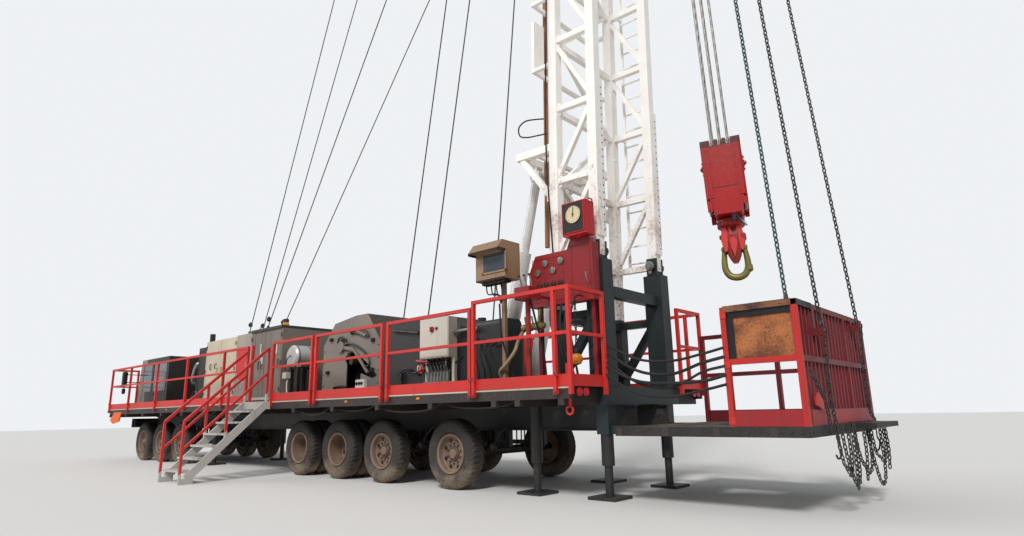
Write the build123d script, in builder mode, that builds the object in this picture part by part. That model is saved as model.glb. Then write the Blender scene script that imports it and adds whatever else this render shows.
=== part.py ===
from build123d import *

import os
from math import atan2, cos, degrees, radians, sin

# Well service rig on a seven-axle carrier, rigged up over a well with its mast raised.
# Millimetres. +X runs along the carrier towards the well, +Z is up, and the carrier's centre line
# is the XZ plane. The driver's side is -Y, and the ground is Z = 0.

# Running clearance
fit_gap = 0.5

# Tyres, rims and axles
tyre_radius = 525
tyre_width = 280
tread_width = 220
rim_radius = 290
rim_wall = 14
rim_inset = 12
dual_gap = 50
wheels_half_width = 1295
single_disc_depth = 62
single_hub_reach = 48
dual_disc_depth = 305
dual_hub_reach = 150
disc_thickness = 18
hub_radius = 118
hub_end_inset = 40
sidewall_bulge = 100
tread_shoulder = 40
spindle_radius = 50
hand_hole_count = 5
hand_hole_radius = 30
steer_axle_x = [-8500, -7200, -5900]
drive_axle_x = [0, 1332]
tag_axle_x = [2664, 4394]
axle_tube_radius = 68
axle_tube_clearance = 25
differential_radius = 200
differential_half_width = 170
spring_length = 1000
spring_width = 80
spring_thickness = 70

# Chassis frame
frame_centres = 860
frame_bottom_z = 850
frame_depth = 350
frame_flange = 110
frame_web = 20
frame_rear_x = 7200
bumper_height = 260
bumper_half_width = 1150
bumper_thickness = 50
crossmember_pitch = 1450
crossmember_size = 120

# Deck
deck_half_width = 1785
deck_top_z = 1450
deck_plate = 20
deck_edge_depth = 150
deck_edge_width = 50
deck_overhang = 160
deck_beam_width = 90
deck_beam_pitch = 1305
mast_slot_front_x = 5850
mast_slot_half_width = 1030

# Railings and stairs
post_size = 50
mid_rail_size = 42
hand_rail_z = 2600
platform_rail_z = 2690
mid_rail_z = 2090
post_foot_z = 1330
toe_board_height = 150
toe_board_thickness = 10
walkway_post_x = [-8350, -6350, -4450, -2450, -1335]
stair_left_x = -1130
stair_right_x = -240
panel_post_x = [1210, 1350, 3330, 3490, 5380]
platform_post_x = [5455, 6900]
stair_foot_y = 3290
stringer_depth = 140
stringer_width = 40
tread_count = 6
tread_going = 230
tread_thickness = 35
stair_post_size = 42
stair_rail_rise = 1090
stair_mid_rise = 600

# Cab, engine and radiator housing
cab_rear_x = -7600
cab_length = 2300
cab_near_y = -1100
cab_width = 1050
cab_height = 1440
cab_wall = 40
cab_slope = 180
cab_sill = 480
cab_header = 150
cab_pillar = 160
cab_mid_pillar_x = -8830
glass_thickness = 8
engine_front_x = -7350
engine_length = 1500
engine_half_width = 420
engine_foot_half_width = 250
engine_height = 900
stack_radius = 70
stack_top_z = 3420
stack_y = -520
cleaner_radius = 230
cleaner_length = 800
cleaner_y = -60
radiator_front_x = -5720
radiator_length = 500
radiator_half_width = 1050
radiator_top_z = 2950
radiator_frame = 90
radiator_recess = 60

# Cabinets on the deck
cabinet_near_y = -1095
cabinet_depth = 900
skid_height = 70
cream_front_x = -5160
cream_length = 1710
cream_top_z = 3060
panel_length = 760
panel_top_z = 3080
enclosure_length = 1430
enclosure_depth = 2190
enclosure_top_z = 3120
enclosure_roof = 60
roof_overhang = 30
door_gap = 14
door_relief = 12
handle_size = 26
handle_height = 170
handle_reach = 45
beacon_radius = 65
beacon_height = 150
receiver_radius = 240
receiver_length = 520
receiver_x = -900
receiver_near_y = -1060
receiver_z = 2400
receiver_stand = 70

# Drawworks
guard_plate = 25
guard_half_width = 1000
main_guard_x0 = 280
main_guard_x1 = 2190
main_guard_top_z = 3030
main_guard_shoulder_z = 2650
main_guard_crest_x0 = 1380
main_guard_crest_x1 = 1760
main_guard_front_drop = 140
main_guard_rear_drop = 200
main_guard_knee_reach = 380
main_guard_knee_drop = 90
brake_window = [(1120, 1470), (1120, 2090), (1030, 2230), (1240, 2330), (1480, 2290),
                (1900, 2010), (2110, 1840), (1960, 1790), (1600, 1900), (1560, 1470)]
rope_slot_half_width = 420
sand_guard_x0 = 2320
sand_guard_x1 = 3980
sand_guard_top_z = 2790
sand_guard_chamfer = 260
drum_half_length = 620
drum_flange = 40
drum_shaft_radius = 60
main_drum_x = 1220
main_drum_z = 2150
main_drum_radius = 270
main_flange_radius = 520
sand_drum_x = 2830
sand_drum_z = 2080
sand_drum_radius = 200
sand_flange_radius = 420
brake_pivot_x = 960
brake_pivot_z = 2450
brake_boss_radius = 105
brake_boss_reach = 60
brake_elbow_x = 1380
brake_elbow_z = 2370
brake_end_x = 1860
brake_end_z = 1900
brake_link_z = 2760
brake_link_end_x = 1780
brake_link_end_z = 2600
brake_bar_width = 40
brake_bar_depth = 60

# Hydraulics
switchbox_x0 = 3550
switchbox_length = 710
switchbox_height = 660
switchbox_depth = 190
switchbox_near_y = -1195
switchbox_z = 2020
valve_count = 7
valve_pitch = 78
valve_x0 = 3645
valve_radius = 32
manifold_height = 190
manifold_depth = 150
tank_x0 = 4330
tank_length = 950
tank_near_y = -1000
tank_width = 440
tank_top_z = 2560
tank_fillet = 90
filler_radius = 70
filler_height = 80

# Operator's station
console_x0 = 5930
console_length = 700
console_near_y = -1110
console_depth = 160
console_foot_z = 2600
console_top_z = 3360
console_corner = 90
console_step = 60
console_nose_length = 120
console_nose_drop = 240
upright_x1 = 7060
upright_top_z = 3500
control_box_x = 6300
control_box_y = -1600
control_box_z = 2620
control_box_size = 260
control_box_height = 170
control_arm_radius = 22
monitor_x = 5500
monitor_near_y = -1500
monitor_depth = 330
monitor_width = 600
monitor_z = 3040
monitor_height = 560
visor_reach = 170
visor_drop = 150
indicator_inset = 180
indicator_near_y = -1260
indicator_width = 390
indicator_height = 480
indicator_depth = 220
dial_radius = 112
dial_depth = 14
stand_tube = 60

# Mast
mast_lean = 1.5
mast_pivot_x = 6950
mast_pivot_z = 3350
mast_half_width = 805
mast_depth = 720
mast_leg = 150
mast_girt = 90
mast_brace = 70
mast_bay = 1180
mast_bays = 12
low_braced_bays = 2
back_foot_drop = 800
upper_half_width = 590
upper_depth = 520
upper_inset = 90
upper_leg = 100
upper_girt = 60
upper_brace = 50
upper_bay = 950
upper_bays = 15
upper_foot = 12450
guide_height = 300
guide_depth = 120
strip_width = 200
strip_thickness = 20
strip_length = 2450
strip_foot = 200
ladder_width = 400
ladder_rail = 36
ladder_rung = 22
ladder_pitch = 300
ladder_standoff = 110

# Mast base
pedestal_length = 300
pedestal_width = 240
back_post = 180
base_beam_width = 250
tie_beam_z = 2850
tie_beam = 150
base_brace = 110
pin_lug_thickness = 25
pin_lug_rise = 130
pin_lug_width = 180
pin_radius = 55
pin_head = 30
drop_leg = 190
floor_arm = 90

# Crown, with its block sheaves in line with the travelling block's
crown_back = -700
crown_front = 450
crown_beam = 150
crown_half_width = 590
crown_floor_back = -550
crown_floor_front = 300
crown_shaft_x = 0
crown_floor_plate = 20
crown_sheave_clearance = 45
cradle_thickness = 40
cradle_length = 480
cradle_rise = 110
cradle_tab = 40
sheave_flange = 30
sheave_groove = 30
fast_sheave_x = -190
fast_sheave_y = -400
fast_rope_slot = 60

# Racking board
board_level = 12980
board_reach = 1300
board_knee = 1200
board_half_width = 1200
board_slot_half_width = 540
board_beam = 90
finger_count = 5
finger_size = 45

# Raising rams, brackets and pipes at the mast's back
ram_foot_x = 4700
ram_foot_z = 1640
ram_foot_half_width = 110
ram_head_z = 1560
ram_half_spread = 400
ram_tube_radius = 120
ram_rod_radius = 75
ram_tube_share = 0.62
ram_eye_radius = 100
ram_eye_length = 160
ram_lug_thickness = 25
ram_bracket_drop = 200
bracket_reach = 710
bracket_size = 120
bracket_brace_drop = 750
hanger_levels = [3200, 4420, 7660, 10620, 12980]
hanger_reach = 434
hanger_size = 60
housing_near_y = -700
housing_width = 260
housing_height = 900
standpipe_y = -250
standpipe_radius = 55
rusty_pipe_y = -420
rusty_pipe_radius = 36
pipe_foot = 300
pipe_top = 13800

# Travelling block and hook, measured down the lines from the block's top
block_x = 8540
block_top_z = 4710
block_turn = 20
block_height = 1090
block_width = 520
block_depth = 620
block_shoulder = 70
block_corner = 25
block_taper = 210
block_foot_width = 330
block_side_plate = 45
block_side_drop = 950
block_side_cut = 90
block_wall = 30
block_rope_notch = 120
block_rope_gap = 44
block_sheave_radius = 235
block_sheave_drop = 320
block_sheave_pitch = 105
block_sheave_width = 44
block_slot_width = 60
block_shaft_radius = 60
block_shaft_cap_radius = 110
block_shaft_cap_height = 12
swivel_radius = 180
swivel_neck_radius = 120
swivel_height = 130
shank_width = 240
shank_depth = 130
shank_length = 360
hook_arm_width = 62
hook_arm_gap = 20
hook_arm_depth = 170
hook_eye_radius = 138
hook_bar_radius = 42
hook_gap_angle = 70
hook_tip_reach = 40

# Lines and chains
line_radius = 13
hoist_line_radius = 14
guy_radius = 11
chain_radius = 17
fitting_radius = 30
fitting_block = 48
fitting_length = 90
guy_roof_points = [(-3240, -900), (-3220, -600), (-2330, -900), (-2600, -400)]
main_line_y = -60
sand_line_y = -350
guy_head_y = 600
sand_line_top_y = 420
dead_line_x = 4090
dead_line_z = 2350
dead_line_top_y = 240
dead_anchor_size = 120

# Work floor at the well
floor_x0 = 7400
floor_x1 = 9690
floor_half_width = 1295
floor_z = 930
floor_frame = 110
floor_plate = 15
floor_toe_height = 170
floor_mid_z = 1590
floor_rail_z = 2230
floor_post = 60
floor_gate_x = 8860
well_slot_half_width = 330
well_slot_x0 = 8200
well_slot_x1 = 8950
end_panel_count = 3
end_bars_per_panel = 5
end_bar_size = 32
chain_bracket_reach = 40
chain_bracket_height = 80
chain_bracket_length = 100
chain_feet = [(9590, -1265, 2230), (9760, -755, 1960), (9760, 775, 2130)]
ledge_length = 260
ledge_thickness = 60
ledge_near_y = 200
chain_heads_y = [-600, -250, 600]
wind_plate_inset = 70
wind_plate_thickness = 8

# Jacks
jack_pad = 420
jack_pad_thickness = 40
jack_tube_radius = 85
jack_rod_radius = 55
jack_tube_foot_z = 420
jack_y = 900
jack_beams = [0, 8]

# Worked out from the driving dimensions
frame_top_z = frame_bottom_z + frame_depth
frame_mid_z = frame_bottom_z + frame_depth / 2
deck_under_z = deck_top_z - deck_plate
deck_front_x = cab_rear_x - cab_length
deck_rear_x = mast_pivot_x + deck_overhang
post_y = deck_half_width + post_size / 2
first_beam_x = mast_slot_front_x - deck_beam_width
beam_count = int((first_beam_x - deck_front_x) // deck_beam_pitch) + 1
panel_front_x = cream_front_x + cream_length
enclosure_front_x = panel_front_x + panel_length
enclosure_rear_x = enclosure_front_x + enclosure_length
mast_back_x = mast_pivot_x - mast_depth
mast_height = mast_bay * mast_bays
upper_front = -upper_inset
upper_back = upper_front - upper_depth
upper_top = upper_foot + upper_bay * upper_bays
floor_under_z = floor_z - floor_frame


mast_frame = Location((mast_pivot_x, 0, mast_pivot_z), (0, mast_lean, 0))


def box(x0, x1, y0, y1, z0, z1, mode=Mode.ADD):
    """A block between two corners, in the part being built."""
    with Locations(((x0 + x1) / 2, (y0 + y1) / 2, (z0 + z1) / 2)):
        Box(abs(x1 - x0), abs(y1 - y0), abs(z1 - z0), mode=mode)


def section_plane(start, end):
    """The plane square to a run, with its first direction level."""
    run = Vector(*end) - Vector(*start)
    side = run.cross(Vector(0, 0, 1))
    if side.length < 1e-6 * run.length:
        side = Vector(1, 0, 0)
    return Plane(origin=start, x_dir=side, z_dir=run)


def bar(start, end, width, height=None):
    """A bar of rectangular section from start to end, kept apart until it is added."""
    with BuildSketch(section_plane(start, end)) as section:
        Rectangle(width, height or width)
    return extrude(section.sketch, amount=(Vector(*end) - Vector(*start)).length, mode=Mode.PRIVATE)


def rod(start, end, radius):
    """A round bar from start to end, kept apart until it is added."""
    with BuildSketch(section_plane(start, end)) as section:
        Circle(radius)
    return extrude(section.sketch, amount=(Vector(*end) - Vector(*start)).length, mode=Mode.PRIVATE)


def on_mast(x, y, z):
    """A place measured from the mast's foot pins, square to and along the leaning mast."""
    lean = radians(mast_lean)
    return (mast_pivot_x + x * cos(lean) + z * sin(lean), y, mast_pivot_z + z * cos(lean) - x * sin(lean))


def mast_bar(start, end, width, height=None):
    """A bar between two places measured from the mast's foot pins, with its sides square to the mast."""
    return mast_frame * bar(start, end, width, height)


def save(shape, label):
    """Labels one finished piece and writes its file."""
    shape.label = label
    export_step(shape, f"parts/{label}.step")


os.makedirs("parts", exist_ok=True)

# Chassis rails of I section, crossmembers and bumper
with BuildPart() as chassis_frame:
    pocket = (frame_flange - frame_web) / 2
    with BuildSketch(Plane.YZ.offset(deck_front_x)):
        for side in (-1, 1):
            with Locations((side * frame_centres / 2, frame_mid_z)):
                Rectangle(frame_flange, frame_depth)
            with Locations(*[(side * frame_centres / 2 + end * (frame_flange - pocket) / 2, frame_mid_z)
                             for end in (-1, 1)]):
                Rectangle(pocket, frame_depth - 2 * frame_web, mode=Mode.SUBTRACT)
    extrude(amount=frame_rear_x - deck_front_x)
    crossmember_count = int((frame_rear_x - deck_front_x) // crossmember_pitch)
    for index in range(crossmember_count):
        member_x = deck_front_x + (index + 0.5) * crossmember_pitch
        box(member_x, member_x + crossmember_size, -frame_centres / 2, frame_centres / 2,
            frame_mid_z - crossmember_size / 2, frame_mid_z + crossmember_size / 2)
    box(deck_front_x - bumper_thickness, deck_front_x, -bumper_half_width, bumper_half_width,
        frame_mid_z - bumper_height / 2, frame_mid_z + bumper_height / 2)
save(chassis_frame.part, "chassis_frame")

# Deck plate with its edge channels and cross beams
with BuildPart() as deck:
    with BuildSketch(Plane.XY.offset(deck_under_z)):
        with BuildLine():
            Polyline(
                (deck_front_x, -deck_half_width), (deck_rear_x, -deck_half_width),
                (deck_rear_x, -mast_slot_half_width), (mast_slot_front_x, -mast_slot_half_width),
                (mast_slot_front_x, mast_slot_half_width), (deck_rear_x, mast_slot_half_width),
                (deck_rear_x, deck_half_width), (deck_front_x, deck_half_width), close=True,
            )
        make_face()
    extrude(amount=deck_plate)
    for side in (-1, 1):
        box(deck_front_x, deck_rear_x, side * (deck_half_width - deck_edge_width), side * deck_half_width,
            deck_under_z - deck_edge_depth, deck_under_z)
        for beam_x in (mast_back_x, mast_pivot_x):
            box(beam_x - deck_beam_width / 2, beam_x + deck_beam_width / 2,
                side * mast_slot_half_width, side * deck_half_width, frame_top_z, deck_under_z)
    for index in range(beam_count):
        beam_x = first_beam_x - index * deck_beam_pitch
        box(beam_x, beam_x + deck_beam_width, -deck_half_width, deck_half_width, frame_top_z, deck_under_z)
save(deck.part, "deck")


def wheel_depth(dual):
    """How far a wheel reaches inwards from the tyres' outer face."""
    return 2 * tyre_width + dual_gap if dual else tyre_width


# Axles with their spindles, differentials and leaf springs
with BuildPart() as axles:
    for axle_x in steer_axle_x + drive_axle_x + tag_axle_x:
        dual = axle_x in drive_axle_x
        tube_end = wheels_half_width - wheel_depth(dual) - axle_tube_clearance
        disc_depth = dual_disc_depth if dual else single_disc_depth
        spindle_end = wheels_half_width - disc_depth - disc_thickness - fit_gap
        centre = (axle_x, 0, tyre_radius)
        bulge = differential_radius if dual else axle_tube_radius
        with BuildSketch(Plane(origin=centre, x_dir=(0, 1, 0), z_dir=(1, 0, 0))) as half_section:
            with BuildLine():
                Polyline(
                    (-spindle_end, 0), (-spindle_end, spindle_radius), (-tube_end, spindle_radius),
                    (-tube_end, axle_tube_radius), (-2 * differential_half_width, axle_tube_radius),
                    (-differential_half_width, bulge), (differential_half_width, bulge),
                    (2 * differential_half_width, axle_tube_radius), (tube_end, axle_tube_radius),
                    (tube_end, spindle_radius), (spindle_end, spindle_radius), (spindle_end, 0), close=True,
                )
            make_face()
        revolve(half_section.sketch, axis=Axis(centre, (0, 1, 0)))
        spring_z = tyre_radius + axle_tube_radius - fit_gap
        for side in (-1, 1):
            spring_y0 = side * frame_centres / 2 - spring_width / 2
            box(axle_x - spring_length / 2, axle_x + spring_length / 2, spring_y0, spring_y0 + spring_width,
                spring_z, spring_z + spring_thickness)
            for end in (-1, 1):
                hanger_x = axle_x + end * (spring_length - spring_width) / 2
                box(hanger_x - spring_width / 2, hanger_x + spring_width / 2, spring_y0,
                    spring_y0 + spring_width, spring_z, frame_bottom_z)
save(axles.part, "axles")


def near_wheel(dual):
    """A tyre or a pair of tyres on a steel disc wheel with its hub, for the near end of an axle at X = 0."""
    depth = wheel_depth(dual)
    disc = dual_disc_depth if dual else single_disc_depth
    reach = dual_hub_reach if dual else single_hub_reach
    centre = (0, -wheels_half_width, tyre_radius)
    shoulder = (tyre_width - tread_width) / 2
    with BuildPart() as built:
        with BuildSketch(Plane(origin=centre, x_dir=(0, 0, 1), z_dir=(-1, 0, 0))):
            with BuildLine():
                Polyline(
                    (0, disc - reach), (hub_radius * 0.7, disc - reach), (hub_radius, disc - reach * 0.6),
                    (hub_radius, disc), (rim_radius - rim_wall, disc), (rim_radius - rim_wall, rim_inset),
                    (rim_radius, rim_inset), (rim_radius, depth - rim_inset),
                    (rim_radius - rim_wall, depth - rim_inset),
                    (rim_radius - rim_wall, disc + disc_thickness), (hub_radius, disc + disc_thickness),
                    (hub_radius, depth - hub_end_inset), (spindle_radius + fit_gap, depth - hub_end_inset),
                    (spindle_radius + fit_gap, disc + disc_thickness), (0, disc + disc_thickness), close=True,
                )
            make_face()
            for first in ((0, tyre_width + dual_gap) if dual else (0,)):
                with BuildLine():
                    Polyline(
                        (rim_radius, first + shoulder), (rim_radius + sidewall_bulge, first),
                        (tyre_radius - tread_shoulder, first + tread_shoulder / 5),
                        (tyre_radius, first + shoulder), (tyre_radius, first + tyre_width - shoulder),
                        (tyre_radius - tread_shoulder, first + tyre_width - tread_shoulder / 5),
                        (rim_radius + sidewall_bulge, first + tyre_width),
                        (rim_radius, first + tyre_width - shoulder), close=True,
                    )
                make_face()
        revolve(axis=Axis(centre, (0, 1, 0)))
        disc_face = Plane(origin=(0, disc - wheels_half_width, tyre_radius), x_dir=(1, 0, 0), z_dir=(0, 1, 0))
        with BuildSketch(disc_face):
            with PolarLocations((hub_radius + rim_radius) / 2, hand_hole_count, start_angle=90):
                Circle(hand_hole_radius)
        extrude(amount=disc_thickness, mode=Mode.SUBTRACT)
    return built.part


wheel_rows = [("steer_wheel", steer_axle_x, False), ("drive_wheel", drive_axle_x, True),
              ("tag_wheel", tag_axle_x, False)]
for row_name, row_x, dual in wheel_rows:
    near = near_wheel(dual)
    for index, axle_x in enumerate(row_x):
        save(Pos(axle_x, 0, 0) * near, f"{row_name}_{index + 1}_near")
        save(Pos(axle_x, 0, 0) * near.mirror(Plane.XZ), f"{row_name}_{index + 1}_far")


# Railings: posts, hand rails, mid rails and toe boards along the near side, mirrored to the far side
with BuildPart() as near_railing:
    half, mid = post_size / 2, mid_rail_size / 2
    y0, y1 = -deck_half_width - post_size, -deck_half_width
    panels = [
        ([deck_front_x] + walkway_post_x, hand_rail_z),
        ([stair_right_x, panel_post_x[0]], hand_rail_z),
        (panel_post_x[1:3], hand_rail_z),
        (panel_post_x[3:5], hand_rail_z),
        (platform_post_x + [deck_rear_x + half], platform_rail_z),
    ]
    for posts, top_z in panels:
        for x in posts:
            box(x - half, x + half, y0, y1, post_foot_z, top_z)
        first, last = posts[0] - half, posts[-1] + half
        box(first, last, y0, y1, top_z - post_size, top_z)
        box(first, last, -post_y - mid, mid - post_y, mid_rail_z - mid, mid_rail_z + mid)
        box(first, last, y1 - toe_board_thickness, y1, deck_under_z, deck_under_z + toe_board_height)
    box(stair_left_x - half, stair_left_x + half, y0, y1, post_foot_z, hand_rail_z)
    # the rail across the platform's end, beside the mast's foot
    end_y = -mast_slot_half_width - post_size
    box(deck_rear_x, deck_rear_x + post_size, end_y, end_y + post_size, post_foot_z, platform_rail_z)
    box(deck_rear_x, deck_rear_x + post_size, y0, end_y + half, platform_rail_z - post_size, platform_rail_z)
    box(deck_rear_x + half - mid, deck_rear_x + half + mid, y0 + half, end_y + half, mid_rail_z - mid,
        mid_rail_z + mid)
    box(deck_rear_x, deck_rear_x + toe_board_thickness, y0 + half, end_y + half, deck_under_z,
        deck_under_z + toe_board_height)
    # the front rail, from the corner inwards
    front_x = deck_front_x - half
    inner_y = cab_near_y - post_size
    box(front_x, front_x + post_size, inner_y, inner_y + post_size, deck_top_z, hand_rail_z)
    box(front_x, front_x + post_size, y0, inner_y + half, hand_rail_z - post_size, hand_rail_z)
    box(deck_front_x - mid, deck_front_x + mid, y0 + half, inner_y + half, mid_rail_z - mid, mid_rail_z + mid)
save(near_railing.part, "near_railing")
save(near_railing.part.mirror(Plane.XZ), "far_railing")

# Stairs: open treads between two stringers, a hand rail and a mid rail on each, mirrored to the far side
with BuildPart() as near_stairs:
    top_y = deck_half_width + post_size + stringer_depth / 2
    top_z = deck_top_z - stringer_depth / 2
    foot_z = stringer_depth * 0.65
    slope = (top_z - foot_z) / (stair_foot_y - top_y)
    first_y, last_y = top_y, stair_foot_y + tread_going / 2
    inner = post_size / 2
    box(stair_left_x + inner, stair_right_x - inner, -top_y, -deck_half_width,
        deck_under_z - deck_edge_depth, deck_under_z)
    box(stair_left_x - stringer_width / 2, stair_right_x + stringer_width / 2, -top_y - stringer_width / 2,
        -deck_half_width - post_size - fit_gap, deck_under_z - deck_edge_depth, deck_under_z)
    parts = []
    for x in (stair_left_x, stair_right_x):
        parts.append(bar((x, -top_y, top_z), (x, -stair_foot_y, foot_z), stringer_width, stringer_depth))
        for rise, size in ((stair_rail_rise, post_size), (stair_mid_rise, stair_post_size)):
            parts.append(bar((x, -first_y, top_z + rise), (x, -last_y, top_z + rise - slope * (last_y - first_y)),
                             size))
    add(parts)
    for x in (stair_left_x, stair_right_x):
        for share in (0, 0.5, 1):
            y = first_y + share * (last_y - first_y)
            z = top_z - slope * (y - top_y)
            box(x - stair_post_size / 2, x + stair_post_size / 2, -y - stair_post_size / 2,
                stair_post_size / 2 - y, 0 if share == 1 else z, z + stair_rail_rise)
        box(x - stringer_width / 2, x + stringer_width / 2, -stair_foot_y - tread_going / 2,
            tread_going / 2 - stair_foot_y, 0, foot_z)
    for index in range(tread_count):
        z = deck_top_z - (index + 1) * deck_top_z / (tread_count + 1)
        y = top_y + (deck_top_z - z) / slope
        box(stair_left_x, stair_right_x, -y - tread_going / 2, tread_going / 2 - y, z - tread_thickness / 2,
            z + tread_thickness / 2)
save(near_stairs.part, "near_stairs")
save(near_stairs.part.mirror(Plane.XZ), "far_stairs")

# Cab: a hollow shell with a sloped windscreen and side windows
cab_top_z = deck_top_z + cab_height
cab_sill_z = deck_top_z + cab_sill
cab_header_z = cab_top_z - cab_header
cab_far_y = cab_near_y + cab_width


def cab_outline(inset):
    """The cab's side outline, drawn in by the wall thickness."""
    lean_share = cab_slope / (cab_height - cab_sill)
    return [
        (deck_front_x + inset, deck_top_z + inset), (cab_rear_x - inset, deck_top_z + inset),
        (cab_rear_x - inset, cab_top_z - inset),
        (deck_front_x + cab_slope + inset * (1 - lean_share), cab_top_z - inset),
        (deck_front_x + inset, cab_sill_z + inset * lean_share),
    ]


def screen_x(z, inset):
    """How far along the carrier the sloped windscreen lies at a height."""
    return deck_front_x + inset + (z - cab_sill_z) * cab_slope / (cab_height - cab_sill)


side_windows = [(deck_front_x + cab_slope + cab_pillar, cab_mid_pillar_x),
                (cab_mid_pillar_x + cab_pillar / 2, cab_rear_x - cab_pillar)]
with BuildPart() as cab_shell:
    with BuildSketch(Plane.XZ.offset(-cab_near_y)):
        with BuildLine():
            Polyline(*cab_outline(0), close=True)
        make_face()
    extrude(amount=-cab_width)
    with BuildSketch(Plane.XZ.offset(-cab_near_y - cab_wall)):
        with BuildLine():
            Polyline(*cab_outline(cab_wall), close=True)
        make_face()
    extrude(amount=-(cab_width - 2 * cab_wall), mode=Mode.SUBTRACT)
    for window_x0, window_x1 in side_windows:
        box(window_x0, window_x1, cab_near_y - 1, cab_far_y + 1, cab_sill_z, cab_header_z, mode=Mode.SUBTRACT)
    box(deck_front_x - 1, deck_front_x + cab_slope + 2 * cab_wall, cab_near_y + cab_pillar / 2,
        cab_far_y - cab_pillar / 2, cab_sill_z + cab_wall, cab_header_z, mode=Mode.SUBTRACT)
save(cab_shell.part, "cab_shell")

# Cab glass, set in the middle of each wall
with BuildPart() as cab_glass:
    inner_half = (cab_wall - glass_thickness) / 2
    for window_x0, window_x1 in side_windows:
        for wall_y in (cab_near_y, cab_far_y - cab_wall):
            box(window_x0, window_x1, wall_y + inner_half, wall_y + inner_half + glass_thickness,
                cab_sill_z, cab_header_z)
    with BuildSketch(Plane.XZ.offset(-cab_near_y - cab_pillar / 2)):
        with BuildLine():
            Polyline(
                (screen_x(cab_sill_z + cab_wall, inner_half), cab_sill_z + cab_wall),
                (screen_x(cab_sill_z + cab_wall, inner_half + glass_thickness), cab_sill_z + cab_wall),
                (screen_x(cab_header_z, inner_half + glass_thickness), cab_header_z),
                (screen_x(cab_header_z, inner_half), cab_header_z), close=True,
            )
        make_face()
    extrude(amount=-(cab_width - cab_pillar))
save(cab_glass.part, "cab_glass")

# Engine with its rocker covers, air cleaner and exhaust stack
with BuildPart() as engine:
    engine_rear_x = engine_front_x + engine_length
    with BuildSketch(Plane.YZ.offset(engine_front_x)):
        with BuildLine():
            Polyline(
                (-engine_foot_half_width, deck_top_z), (engine_foot_half_width, deck_top_z),
                (engine_half_width, deck_top_z + engine_height * 0.5),
                (engine_half_width, deck_top_z + engine_height * 0.8),
                (engine_foot_half_width, deck_top_z + engine_height),
                (-engine_foot_half_width, deck_top_z + engine_height),
                (-engine_half_width, deck_top_z + engine_height * 0.8),
                (-engine_half_width, deck_top_z + engine_height * 0.5), close=True,
            )
        make_face()
    extrude(amount=engine_length)
    cleaner_z = deck_top_z + engine_height + cleaner_radius + 2 * door_gap
    cleaner_x = engine_front_x + cleaner_radius
    stack_x = engine_front_x + engine_length * 0.75
    manifold_z = deck_top_z + engine_height * 0.65
    add([
        rod((cleaner_x, cleaner_y, cleaner_z), (cleaner_x + cleaner_length, cleaner_y, cleaner_z), cleaner_radius),
        rod((stack_x, -engine_foot_half_width, manifold_z), (stack_x, stack_y, manifold_z), stack_radius),
        rod((stack_x, stack_y, manifold_z - stack_radius), (stack_x, stack_y, stack_top_z), stack_radius),
    ])
    box(cleaner_x + cleaner_length * 0.3, cleaner_x + cleaner_length * 0.7, cleaner_y - cleaner_radius * 0.6,
        cleaner_y + cleaner_radius * 0.6, deck_top_z + engine_height - 1, cleaner_z)
save(engine.part, "engine")

# Radiator housing with a recessed core on both faces
with BuildPart() as radiator_housing:
    radiator_rear_x = radiator_front_x + radiator_length
    box(radiator_front_x, radiator_rear_x, -radiator_half_width, radiator_half_width, deck_top_z, radiator_top_z)
    inner_y = radiator_half_width - radiator_frame
    for face_x, inward in ((radiator_front_x, 1), (radiator_rear_x, -1)):
        box(face_x, face_x + inward * radiator_recess, -inner_y, inner_y, deck_top_z + radiator_frame,
            radiator_top_z - radiator_frame, mode=Mode.SUBTRACT)
save(radiator_housing.part, "radiator_housing")


def cabinet(x0, length, depth, top_z, doors, roof=0):
    """A closed cabinet on a skid, with doors outlined by gaps and a handle on each."""
    near_y, body_z = cabinet_near_y, deck_top_z + skid_height
    with BuildPart() as built:
        box(x0, x0 + length, near_y, near_y + depth, body_z, top_z - roof)
        for skid_y in (near_y + skid_height, near_y + depth - 2 * skid_height):
            box(x0, x0 + length, skid_y, skid_y + skid_height, deck_top_z, body_z)
        if roof:
            box(x0, x0 + length, near_y - roof_overhang, near_y + depth + roof_overhang, top_z - roof, top_z)
        door_z0, door_z1 = body_z + 4 * door_gap, top_z - roof - 4 * door_gap
        for index in range(doors + 1):
            groove_x = x0 + 3 * door_gap + index * (length - 7 * door_gap) / doors
            box(groove_x, groove_x + door_gap, near_y, near_y + door_relief, door_z0, door_z1, mode=Mode.SUBTRACT)
        for index in range(doors):
            leaf = (length - 7 * door_gap) / doors
            inboard = 0.86 if index % 2 == 0 else 0.14
            handle_x = x0 + 3 * door_gap + (index + inboard) * leaf
            handle_z = (door_z0 + door_z1) / 2
            for end_z in (handle_z - handle_height / 2, handle_z + handle_height / 2 - handle_size):
                box(handle_x - handle_size / 2, handle_x + handle_size / 2, near_y - handle_reach, near_y,
                    end_z, end_z + handle_size)
            box(handle_x - handle_size / 2, handle_x + handle_size / 2, near_y - handle_reach,
                near_y - handle_reach + handle_size, handle_z - handle_height / 2, handle_z + handle_height / 2)
    return built.part


save(cabinet(cream_front_x, cream_length - fit_gap, cabinet_depth, cream_top_z, 2), "cream_cabinet")
save(cabinet(panel_front_x, panel_length - fit_gap, cabinet_depth, panel_top_z, 1), "panel_cabinet")

# Power enclosure: doors, an overhanging roof and an amber beacon at its rear corner
with BuildPart() as power_enclosure:
    add(cabinet(enclosure_front_x, enclosure_length, enclosure_depth, enclosure_top_z, 3, enclosure_roof))
    beacon_x = enclosure_rear_x - 2 * beacon_radius
    beacon_y = cabinet_near_y + 2 * beacon_radius
    add(rod((beacon_x, beacon_y, enclosure_top_z), (beacon_x, beacon_y, enclosure_top_z + beacon_height),
            beacon_radius))
save(power_enclosure.part, "power_enclosure")

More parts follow.
